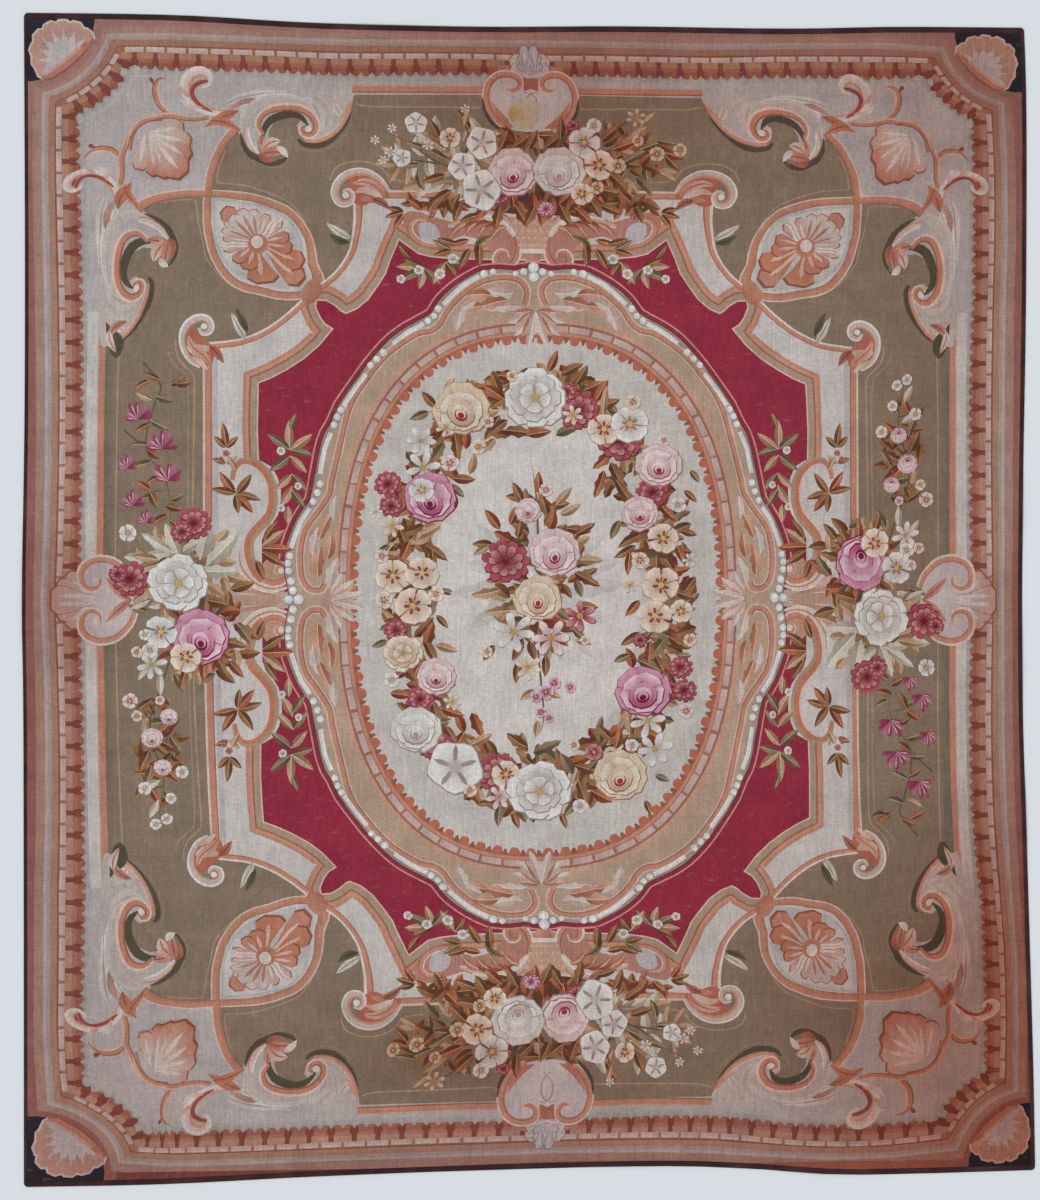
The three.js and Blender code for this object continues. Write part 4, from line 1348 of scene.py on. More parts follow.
    @staticmethod
    def pearl(pen: Pen, at: Sequence[float], radius: float) -> None:
        """A white bead with a grey side."""
        centre = np.asarray(at, float)
        pen.fill(ring(centre + (0.5, 0.7), radius, radius, 9), Wool.PEARL_SHADE)
        pen.fill(ring(centre, radius * 0.94, radius * 0.94, 9), Wool.PEARL)
        pen.fill(ring(centre - (0.8, 0.8), radius * 0.5, radius * 0.5, 7), "dad8d6")


class Kind(Enum):
    """The flowers that a posy's table may name, each by the florist's function that draws it."""

    ROSE = "rose"
    PEONY = "peony"
    BLOSSOM = "blossom"
    STAR = "star"
    CARNATION = "carnation"
    TRUMPET = "trumpet"
    TUFT = "tuft"


# Rows of a posy's tables. A flower: kind, column, row, radius, wools. A leaf: column and row of its
# base, heading in degrees clockwise from the right, length, width, wools.
FlowerRow = tuple[Kind, float, float, float, Skein]
LeafRow = tuple[float, float, float, float, float, Skein]


@dataclass
class Posy:
    """Flowers over leaves, laid in the order of their tables."""

    cartoon: Cartoon
    flowers: Sequence[FlowerRow]
    leaves: Sequence[LeafRow]
    places: tuple[Place, ...] = HERE
    seed: int = 3
    stems: Sequence[Curve] = ()

    def draw(self) -> None:
        """Lays the stems, the leaves and then the flowers."""
        florist = Florist(Pen(self.cartoon, self.places), self.seed)
        for path in self.stems:
            florist.stem(path)
        for column, row, heading, length, width, skein in self.leaves:
            florist.leaf((column, row), heading, length, width, skein, florist.luck.uniform(-18, 18))
        for kind, column, row, radius, skein in self.flowers:
            getattr(florist, kind.value)((column, row), radius, skein, florist.luck.uniform(0, 360))


ROSE, PEONY, BLOSSOM, STAR, CARNATION, TRUMPET, TUFT = Kind

# the ring of flowers round the pale oval
WREATH_LEAVES: list[LeafRow] = [
    (500, 398, -100, 28, 11, LEAF_BROWN), (505, 400, -140, 26, 11, LEAF_RUST),
    (492, 405, -160, 22, 9, LEAF_TAN), (500, 415, 120, 30, 12, LEAF_BROWN),
    (508, 420, 150, 24, 10, LEAF_BROWN), (436, 408, -130, 22, 9, LEAF_BROWN),
    (430, 412, 160, 22, 9, LEAF_MOSS), (548, 372, -60, 24, 9, LEAF_RUST),
    (560, 375, -30, 26, 10, LEAF_BROWN), (575, 385, -50, 24, 10, LEAF_BROWN),
    (584, 390, -20, 22, 9, LEAF_RUST), (595, 402, -60, 26, 10, LEAF_RUST),
    (598, 408, -20, 24, 10, LEAF_BROWN), (603, 415, -85, 30, 8, LEAF_TAN),
    (610, 462, 60, 34, 14, LEAF_BROWN), (604, 470, 100, 30, 12, LEAF_RUST),
    (616, 480, 60, 28, 10, LEAF_BROWN), (690, 470, 50, 16, 7, LEAF_MOSS), (684, 490, 40, 18, 7, LEAF_BROWN),
    (620, 520, 120, 22, 9, LEAF_MOSS), (640, 535, 160, 26, 9, LEAF_BROWN),
    (636, 545, 140, 26, 9, LEAF_BROWN), (630, 552, 100, 24, 8, LEAF_RUST), (680, 530, 20, 18, 8, LEAF_BROWN),
    (676, 545, 60, 20, 8, LEAF_RUST), (640, 600, 130, 22, 9, LEAF_RUST), (676, 592, 20, 20, 9, LEAF_BROWN),
    (640, 632, 140, 24, 9, LEAF_BROWN), (668, 636, 40, 26, 10, LEAF_BROWN), (650, 640, 90, 24, 9, LEAF_RUST),
    (630, 655, 160, 18, 8, LEAF_MOSS), (676, 655, 10, 16, 7, LEAF_MOSS), (655, 655, 60, 20, 8, LEAF_BROWN),
    (412, 470, 60, 20, 8, LEAF_BROWN), (452, 478, 10, 24, 10, LEAF_BROWN), (450, 484, 40, 20, 8, LEAF_MOSS),
    (400, 530, 70, 26, 10, LEAF_BROWN), (410, 540, 110, 26, 10, LEAF_RUST),
    (425, 545, 30, 28, 10, LEAF_BROWN), (420, 535, -20, 24, 9, LEAF_TAN), (432, 550, 80, 22, 8, LEAF_BROWN),
    (405, 640, 170, 20, 8, LEAF_BROWN), (425, 640, 60, 28, 10, LEAF_BROWN), (435, 645, 10, 24, 9, LEAF_TAN),
    (425, 655, 120, 24, 9, LEAF_RUST), (440, 590, 10, 16, 7, LEAF_MOSS), (436, 615, 40, 18, 7, LEAF_BROWN),
    (425, 690, 30, 26, 10, LEAF_BROWN), (432, 700, 70, 30, 11, LEAF_BROWN),
    (440, 708, 20, 26, 10, LEAF_RUST), (445, 725, 60, 24, 9, LEAF_BROWN), (470, 745, -20, 26, 9, LEAF_TAN),
    (478, 760, 90, 24, 10, LEAF_BROWN), (500, 805, 100, 22, 9, LEAF_MOSS), (512, 812, 60, 18, 8, LEAF_BROWN),
    (575, 765, 20, 28, 12, LEAF_BROWN), (578, 780, 70, 28, 12, LEAF_BROWN),
    (590, 790, 30, 26, 11, LEAF_RUST), (588, 770, -50, 24, 9, LEAF_MOSS),
    (608, 745, -20, 24, 10, LEAF_BROWN), (615, 750, -70, 24, 9, LEAF_RUST),
    (630, 735, -100, 24, 8, LEAF_TAN), (612, 740, -140, 22, 9, LEAF_BROWN),
    (578, 800, 130, 22, 9, LEAF_MOSS), (560, 812, 60, 18, 7, LEAF_BROWN), (390, 545, 150, 16, 7, LEAF_MOSS),
    (388, 640, 150, 18, 7, LEAF_MOSS), (396, 555, 60, 18, 7, LEAF_BROWN), (645, 800, 60, 16, 7, LEAF_BROWN),
    (655, 775, 20, 16, 7, LEAF_MOSS), (470, 398, -100, 20, 8, LEAF_MOSS), (445, 390, -60, 16, 7, LEAF_TAN),
]
WREATH_FLOWERS: list[FlowerRow] = [
    (CARNATION, 579, 410, 22, RUBY), (CARNATION, 620, 440, 24, RUBY), (CARNATION, 652, 492, 17, RUBY),
    (CARNATION, 388, 484, 15, RUBY), (CARNATION, 391, 506, 13, RUBY), (CARNATION, 396, 630, 13, RUBY),
    (CARNATION, 420, 699, 15, RUBY), (CARNATION, 440, 748, 18, RUBY), (CARNATION, 498, 772, 22, RUBY),
    (CARNATION, 684, 690, 13, RUBY), (CARNATION, 680, 667, 13, RUBY), (CARNATION, 566, 392, 12, RUBY),
    (PEONY, 535, 398, 33, WHITE), (ROSE, 461, 409, 28, CREAM), (BLOSSOM, 604, 429, 17, CREAM),
    (BLOSSOM, 630, 424, 20, WHITE), (ROSE, 659, 465, 23, SHELL), (ROSE, 640, 513, 19, SHELL),
    (BLOSSOM, 663, 538, 16, CREAM), (STAR, 573, 415, 11, CREAM), (BLOSSOM, 661, 585, 19, CREAM),
    (BLOSSOM, 655, 616, 18, CREAM), (BLOSSOM, 681, 611, 12, CREAM), (STAR, 421, 441, 15, WHITE),
    (STAR, 423, 468, 18, WHITE), (BLOSSOM, 450, 463, 9, SHELL), (ROSE, 430, 498, 27, ROSY),
    (BLOSSOM, 422, 490, 13, WHITE), (STAR, 392, 526, 12, CREAM), (BLOSSOM, 393, 576, 18, CREAM),
    (BLOSSOM, 422, 573, 17, CREAM), (BLOSSOM, 413, 606, 20, CREAM), (PEONY, 403, 653, 20, CREAM),
    (ROSE, 436, 676, 20, SHELL), (ROSE, 416, 729, 25, WHITE), (TRUMPET, 455, 767, 27, WHITE),
    (BLOSSOM, 506, 774, 15, CREAM), (STAR, 499, 797, 13, SHELL), (PEONY, 539, 791, 32, WHITE),
    (BLOSSOM, 594, 752, 9, RUBY), (ROSE, 620, 775, 26, CREAM), (STAR, 648, 721, 18, WHITE),
    (STAR, 655, 749, 18, WHITE), (ROSE, 643, 691, 28, ROSY), (BLOSSOM, 686, 711, 8, SHELL),
    (BLOSSOM, 633, 402, 8, CREAM), (BLOSSOM, 478, 447, 8, CREAM), (STAR, 446, 428, 10, CREAM),
    (BLOSSOM, 488, 422, 6, SHELL), (BLOSSOM, 678, 505, 8, WHITE), (BLOSSOM, 640, 560, 9, CREAM),
    (STAR, 630, 585, 8, CREAM), (BLOSSOM, 384, 600, 9, CREAM), (BLOSSOM, 436, 594, 8, CREAM),
    (BLOSSOM, 392, 680, 8, WHITE), (BLOSSOM, 382, 556, 7, SHELL), (STAR, 452, 702, 9, CREAM),
    (BLOSSOM, 470, 790, 7, CREAM), (BLOSSOM, 580, 806, 8, WHITE), (BLOSSOM, 574, 745, 6, CREAM),
    (STAR, 690, 560, 8, WHITE), (BLOSSOM, 690, 640, 7, CREAM), (CARNATION, 640, 640, 8, RUBY),
    (BLOSSOM, 632, 745, 7, WHITE), (BLOSSOM, 512, 376, 6, CREAM), (BLOSSOM, 664, 440, 6, SHELL),
    (STAR, 376, 512, 7, WHITE),
]
# the worn leaves that only just show round the middle, their feet on a turn about it
GHOST_LEAVES: list[LeafRow] = [
    (539 + 12 * math.sin(0.42 * i), 585 - 12 * math.cos(0.42 * i), -90 + 24 * i,
     64 + 14 * abs(math.sin(1.3 * i)), 24, GHOST) for i in range(15)
]
HEART_LEAVES: list[LeafRow] = [
    (525, 500, -160, 20, 9, LEAF_BROWN), (522, 502, -110, 22, 9, LEAF_BROWN),
    (540, 495, -100, 24, 9, LEAF_RUST), (556, 505, -50, 24, 9, LEAF_TAN), (560, 515, -20, 24, 9, LEAF_TAN),
    (566, 528, 10, 26, 10, LEAF_BROWN), (575, 535, -30, 24, 9, LEAF_BROWN),
    (500, 530, -120, 26, 10, LEAF_RUST), (510, 525, -70, 24, 9, LEAF_RUST),
    (494, 545, 190, 22, 9, LEAF_BROWN), (490, 545, 150, 20, 8, LEAF_TAN), (574, 560, 0, 30, 12, LEAF_TAN),
    (574, 572, 30, 30, 12, LEAF_BROWN), (508, 600, 200, 28, 12, LEAF_TAN), (512, 610, 170, 28, 12, LEAF_TAN),
    (500, 590, 160, 30, 12, LEAF_TAN), (575, 605, 10, 24, 10, LEAF_BROWN), (572, 628, 40, 22, 8, LEAF_MOSS),
    (575, 640, 10, 18, 7, LEAF_TAN), (495, 645, 130, 20, 9, LEAF_BROWN), (520, 660, 110, 24, 9, LEAF_BROWN),
    (545, 655, 80, 22, 9, LEAF_BROWN), (535, 690, 150, 18, 8, LEAF_TAN), (545, 690, 30, 18, 8, LEAF_TAN),
    (538, 720, 90, 18, 8, LEAF_TAN), (535, 560, 60, 22, 10, LEAF_BROWN), (535, 575, 110, 22, 10, LEAF_BROWN),
]
HEART_FLOWERS: list[FlowerRow] = [
    (ROSE, 528, 510, 13, SHELL), (BLOSSOM, 546, 490, 7, SHELL), (CARNATION, 506, 561, 25, RUBY),
    (ROSE, 555, 552, 26, SHELL), (ROSE, 538, 598, 24, CREAM), (STAR, 580, 616, 17, RUBY),
    (STAR, 514, 632, 21, WHITE), (STAR, 551, 638, 20, SHELL), (STAR, 528, 667, 14, CREAM),
    (BLOSSOM, 487, 652, 6, CREAM), (BLOSSOM, 554, 683, 7, ROSY), (BLOSSOM, 546, 692, 8, ROSY),
    (BLOSSOM, 570, 687, 6, ROSY), (BLOSSOM, 541, 712, 6, ROSY), (BLOSSOM, 536, 697, 6, ROSY),
    (BLOSSOM, 549, 718, 5, ROSY), (BLOSSOM, 585, 640, 5, CREAM),
]
# the bouquet above the medallion, and turned round the one below
CROWN_LEAVES: list[LeafRow] = [
    (500, 150, -60, 22, 10, LEAF_BROWN), (512, 148, -30, 24, 10, LEAF_BROWN),
    (528, 150, -70, 22, 9, LEAF_BROWN), (545, 148, -40, 24, 10, LEAF_BROWN),
    (560, 140, -80, 24, 9, LEAF_BROWN), (600, 142, -40, 26, 10, LEAF_BROWN),
    (612, 150, -20, 26, 10, LEAF_RUST), (615, 160, 20, 28, 10, LEAF_BROWN),
    (608, 172, 40, 28, 11, LEAF_BROWN), (596, 188, 20, 26, 11, LEAF_BROWN),
    (588, 196, 60, 26, 11, LEAF_BROWN), (620, 165, -30, 34, 8, LEAF_MOSS), (640, 150, -20, 30, 8, LEAF_MOSS),
    (655, 140, 10, 24, 7, LEAF_MOSS), (640, 128, -50, 22, 7, LEAF_TAN), (448, 160, 200, 26, 9, LEAF_MOSS),
    (444, 150, 220, 26, 9, LEAF_TAN), (440, 140, 240, 24, 9, LEAF_BROWN), (446, 175, 160, 26, 9, LEAF_BROWN),
    (452, 190, 150, 26, 10, LEAF_BROWN), (462, 200, 120, 24, 9, LEAF_BROWN),
    (430, 150, 190, 26, 7, LEAF_MOSS), (420, 165, 180, 24, 7, LEAF_MOSS),
    (470, 130, -120, 24, 9, LEAF_BROWN), (464, 126, -80, 18, 7, LEAF_TAN),
    (500, 205, 100, 26, 12, LEAF_BROWN), (515, 205, 60, 26, 12, LEAF_BROWN),
    (535, 205, 110, 24, 12, LEAF_BROWN), (560, 205, 70, 24, 12, LEAF_BROWN),
    (575, 208, 40, 24, 10, LEAF_RUST), (490, 205, 140, 24, 10, LEAF_RUST),
    (480, 215, 170, 22, 8, LEAF_BROWN), (600, 205, 20, 24, 9, LEAF_BROWN),
]
CROWN_FLOWERS: list[FlowerRow] = [
    (CARNATION, 546, 209, 9, ROSY), (CARNATION, 500, 196, 11, RUBY), (CARNATION, 573, 126, 7, RUBY),
    (TRUMPET, 462, 166, 14, WHITE), (TRUMPET, 482, 143, 16, WHITE), (TRUMPET, 416, 123, 11, WHITE),
    (BLOSSOM, 450, 138, 11, CREAM), (TRUMPET, 402, 158, 9, WHITE), (ROSE, 513, 172, 26, SHELL),
    (ROSE, 559, 171, 26, WHITE), (TRUMPET, 481, 190, 20, WHITE), (BLOSSOM, 584, 143, 16, WHITE),
    (BLOSSOM, 599, 165, 16, CREAM), (BLOSSOM, 582, 194, 12, CREAM), (STAR, 636, 118, 10, LEAF_TAN),
    (BLOSSOM, 594, 126, 8, WHITE), (BLOSSOM, 657, 154, 8, LEAF_TAN), (BLOSSOM, 680, 150, 7, LEAF_TAN),
    (BLOSSOM, 597, 188, 7, LEAF_TAN), (BLOSSOM, 618, 166, 8, LEAF_TAN), (BLOSSOM, 638, 141, 6, LEAF_TAN),
    (STAR, 375, 140, 5, WHITE), (STAR, 390, 152, 6, WHITE), (STAR, 383, 160, 5, WHITE),
    (STAR, 428, 145, 6, WHITE), (STAR, 392, 128, 5, WHITE), (STAR, 465, 109, 5, WHITE),
]
# the bouquet left of the medallion, and turned round the one right of it
SIDE_LEAVES: list[LeafRow] = [
    (200, 560, -70, 44, 20, LEAF_PALE), (206, 566, -40, 48, 20, LEAF_PALE),
    (180, 556, -120, 36, 15, LEAF_PALE), (172, 552, -150, 36, 12, LEAF_PALE),
    (196, 570, 10, 44, 15, LEAF_PALE), (160, 560, 190, 30, 9, LEAF_TAN), (210, 640, 40, 30, 13, LEAF_BROWN),
    (214, 650, 70, 30, 12, LEAF_BROWN), (220, 640, 10, 28, 12, LEAF_BROWN),
    (205, 656, 100, 26, 10, LEAF_RUST), (228, 660, 50, 24, 9, LEAF_BROWN), (150, 660, 120, 24, 8, LEAF_PALE),
    (160, 672, 90, 24, 8, LEAF_PALE), (174, 672, 60, 24, 9, LEAF_MOSS), (186, 668, 100, 22, 9, LEAF_BROWN),
    (148, 612, 190, 22, 8, LEAF_MOSS), (150, 600, 160, 22, 8, LEAF_PALE), (206, 600, 10, 26, 11, LEAF_BROWN),
    (230, 590, -20, 26, 11, LEAF_BROWN), (152, 700, 150, 20, 8, LEAF_BROWN),
    (150, 735, 60, 26, 12, LEAF_BROWN), (158, 740, 20, 28, 12, LEAF_BROWN),
    (150, 750, 120, 24, 11, LEAF_BROWN), (170, 735, 60, 22, 9, LEAF_MOSS), (152, 765, 100, 22, 9, LEAF_MOSS),
    (160, 780, 150, 20, 8, LEAF_PALE), (165, 790, 60, 18, 8, LEAF_MOSS), (158, 800, 110, 20, 8, LEAF_PALE),
    (170, 385, -20, 18, 8, LEAF_BROWN), (160, 380, 200, 18, 7, LEAF_BROWN), (150, 420, 30, 22, 7, LEAF_MOSS),
    (148, 445, 190, 18, 7, LEAF_MOSS), (152, 470, 20, 22, 8, LEAF_BROWN), (158, 495, 160, 20, 7, LEAF_MOSS),
    (165, 505, 20, 20, 8, LEAF_BROWN), (150, 380, 150, 18, 6, LEAF_RUST), (156, 396, 20, 20, 9, LEAF_MOSS),
    (152, 400, -160, 18, 8, LEAF_TAN), (150, 424, 150, 16, 7, LEAF_BROWN), (148, 450, 40, 16, 8, LEAF_BROWN),
    (152, 462, 160, 18, 9, LEAF_MOSS), (160, 476, 150, 16, 7, LEAF_BROWN),
    (150, 490, -150, 16, 8, LEAF_RUST), (150, 492, 60, 18, 9, LEAF_BROWN), (170, 500, -20, 16, 8, LEAF_MOSS),
    (168, 515, 150, 18, 8, LEAF_BROWN), (170, 520, 30, 18, 8, LEAF_MOSS), (176, 384, 0, 16, 9, LEAF_BROWN),
]
SIDE_FLOWERS: list[FlowerRow] = [
    (CARNATION, 194, 523, 18, RUBY), (CARNATION, 182, 532, 12, RUBY), (CARNATION, 130, 579, 20, RUBY),
    (CARNATION, 118, 574, 10, RUBY), (BLOSSOM, 128, 533, 9, WHITE), (PEONY, 178, 583, 31, WHITE),
    (ROSE, 201, 637, 30, ROSY), (BLOSSOM, 161, 632, 17, WHITE), (BLOSSOM, 186, 657, 16, CREAM),
    (STAR, 152, 665, 15, WHITE), (TUFT, 138, 412, 15, LILY), (TUFT, 162, 441, 16, LILY),
    (TUFT, 127, 463, 11, LILY), (TUFT, 168, 473, 16, LILY), (TUFT, 133, 500, 13, LILY),
    (TUFT, 146, 518, 10, LILY), (BLOSSOM, 150, 650, 8, WHITE), (BLOSSOM, 137, 652, 6, CREAM),
    (BLOSSOM, 145, 635, 6, WHITE), (BLOSSOM, 130, 701, 8, SHELL), (ROSE, 169, 717, 9, SHELL),
    (ROSE, 152, 738, 11, SHELL), (BLOSSOM, 137, 716, 6, CREAM), (ROSE, 163, 767, 9, SHELL),
    (BLOSSOM, 182, 772, 7, WHITE), (BLOSSOM, 145, 788, 7, WHITE), (BLOSSOM, 171, 798, 6, WHITE),
    (BLOSSOM, 156, 824, 6, WHITE), (BLOSSOM, 167, 819, 6, WHITE), (BLOSSOM, 160, 700, 5, SHELL),
]
SIDE_STEMS = [
    points(143, 362, 161, 385, 156, 400, 147, 432, 148, 454, 165, 479, 170, 501, 170, 530),
    points(124, 430, 136, 440, 148, 454), points(128, 466, 150, 458), points(134, 503, 152, 492, 167, 490),
    points(170, 660, 160, 690, 150, 720, 155, 750, 164, 780, 160, 812, 162, 828), points(152, 722, 136, 700),
    points(158, 758, 182, 772), points(163, 786, 146, 790),
]
CROWN_STEMS = [
    points(452, 168, 430, 158, 404, 140, 378, 130), points(440, 164, 410, 160, 384, 162),
    points(606, 152, 640, 142, 662, 152, 692, 148), points(598, 142, 620, 126, 640, 114),
    points(470, 140, 466, 124, 464, 106),
]
HEART_STEMS = [
    points(538, 540, 537, 505, 534, 480, 532, 462), points(538, 650, 542, 692, 544, 716, 540, 736),
]
# the sprigs that grow from the frame's scrolls, and their berries
FRAME_SPRIGS: list[LeafRow] = [
    (226, 448, -90, 26, 8, LEAF_BROWN), (226, 448, -135, 17, 7, LEAF_BROWN),
    (226, 448, -45, 17, 7, LEAF_BROWN), (226, 464, -150, 15, 6, LEAF_BROWN),
    (226, 464, -30, 14, 6, LEAF_TAN), (236, 494, -135, 28, 9, LEAF_RUST),
    (236, 494, -160, 26, 8, LEAF_BROWN), (236, 494, -45, 26, 9, LEAF_BROWN),
    (236, 494, 5, 26, 8, LEAF_BROWN), (236, 494, 45, 26, 9, LEAF_RUST), (236, 494, 85, 20, 8, LEAF_BROWN),
    (236, 470, -120, 16, 6, LEAF_TAN), (290, 450, -95, 30, 9, LEAF_TAN), (290, 450, -140, 28, 9, LEAF_MOSS),
    (290, 450, -28, 28, 9, LEAF_TAN), (290, 450, 8, 24, 8, LEAF_MOSS), (290, 456, 140, 26, 9, LEAF_MOSS),
    (290, 456, 45, 24, 8, LEAF_TAN), (292, 474, 130, 24, 8, LEAF_TAN), (292, 474, 50, 24, 8, LEAF_MOSS),
    (292, 486, 110, 24, 9, LEAF_TAN), (292, 490, 60, 22, 8, LEAF_MOSS), (288, 506, 90, 18, 8, LEAF_TAN),
    (290, 430, -70, 18, 6, LEAF_MOSS), (262, 548, 5, 32, 10, LEAF_RUST), (262, 552, 30, 26, 9, LEAF_BROWN),
    (262, 546, -30, 28, 9, LEAF_TAN), (264, 540, -60, 24, 8, LEAF_BROWN), (256, 560, 60, 22, 8, LEAF_BROWN),
    (404, 212, 200, 18, 7, LEAF_BROWN), (404, 212, 165, 20, 7, LEAF_BROWN),
    (404, 214, 130, 18, 7, LEAF_RUST), (436, 206, 190, 26, 7, LEAF_BROWN), (436, 206, 160, 18, 7, LEAF_TAN),
    (436, 208, 120, 14, 6, LEAF_BROWN), (424, 268, 190, 28, 9, LEAF_TAN), (424, 268, 150, 28, 9, LEAF_MOSS),
    (424, 268, 210, 22, 8, LEAF_BROWN), (424, 268, 95, 22, 8, LEAF_TAN), (424, 268, 50, 24, 8, LEAF_MOSS),
    (446, 262, 130, 26, 9, LEAF_TAN), (446, 262, 60, 18, 8, LEAF_BROWN), (446, 262, 10, 20, 7, LEAF_MOSS),
    (410, 258, 230, 18, 7, LEAF_BROWN), (452, 250, -160, 22, 7, LEAF_MOSS),
    (452, 250, 160, 20, 7, LEAF_BROWN), (470, 248, 120, 24, 8, LEAF_BROWN),
    (480, 244, 100, 24, 9, LEAF_BROWN), (470, 240, 170, 24, 7, LEAF_RUST),
    (458, 244, -175, 22, 7, LEAF_BROWN),
]
FRAME_BERRIES: list[FlowerRow] = [
    (BLOSSOM, 281, 451, 4.5, WHITE), (BLOSSOM, 226, 453, 3.5, RUBY), (BLOSSOM, 221, 459, 3, RUBY),
    (BLOSSOM, 298, 486, 4, WHITE), (BLOSSOM, 281, 508, 4, WHITE), (BLOSSOM, 401, 279, 4.5, WHITE),
    (BLOSSOM, 419, 270, 5, WHITE), (BLOSSOM, 440, 274, 5.5, WHITE), (BLOSSOM, 453, 259, 5.5, WHITE),
    (BLOSSOM, 453, 203, 3.5, RUBY), (BLOSSOM, 432, 213, 3.5, RUBY),
]


@dataclass
class Bedding:
    """Loose leaves strewn over an oval or round a ring, under the flowers that are laid later."""

    cartoon: Cartoon
    middle: tuple[float, float]
    reach: tuple[float, float]  # the oval's half width and half height
    inner: float  # where the leaves start, as a share of the reach
    count: int
    length: tuple[float, float]
    skeins: Sequence[Skein]
    splay: float = 180.0  # how far a leaf may turn from straight outwards, in degrees
    places: tuple[Place, ...] = HERE
    seed: int = 5
    shade: str | None = None  # the dark wool between the leaves, where there is one

    def draw(self) -> None:
        """Lays the leaves one by one, at even steps round the oval with small chances."""
        luck = np.random.default_rng(self.seed)
        florist = Florist(Pen(self.cartoon, self.places), self.seed)
        if self.shade:
            florist.pen.fill(ring(self.middle, *self.reach, 20), self.shade)
        for i in range(self.count):
            angle = 2 * math.pi * (i * 0.618 + luck.uniform(-0.02, 0.02))
            share = self.inner + (1 - self.inner) * math.sqrt(luck.uniform(0, 1))
            base = np.array(self.middle) + share * np.array(self.reach) * (math.cos(angle), math.sin(angle))
            heading = math.degrees(angle) + luck.uniform(-self.splay, self.splay)
            long = luck.uniform(*self.length)
            skein = self.skeins[int(luck.integers(len(self.skeins)))]
            florist.leaf(base - toward(heading, 0.5 * long), heading, long, long * luck.uniform(0.38, 0.5),
                         skein, luck.uniform(-30, 30), vein=i % 3 == 0)


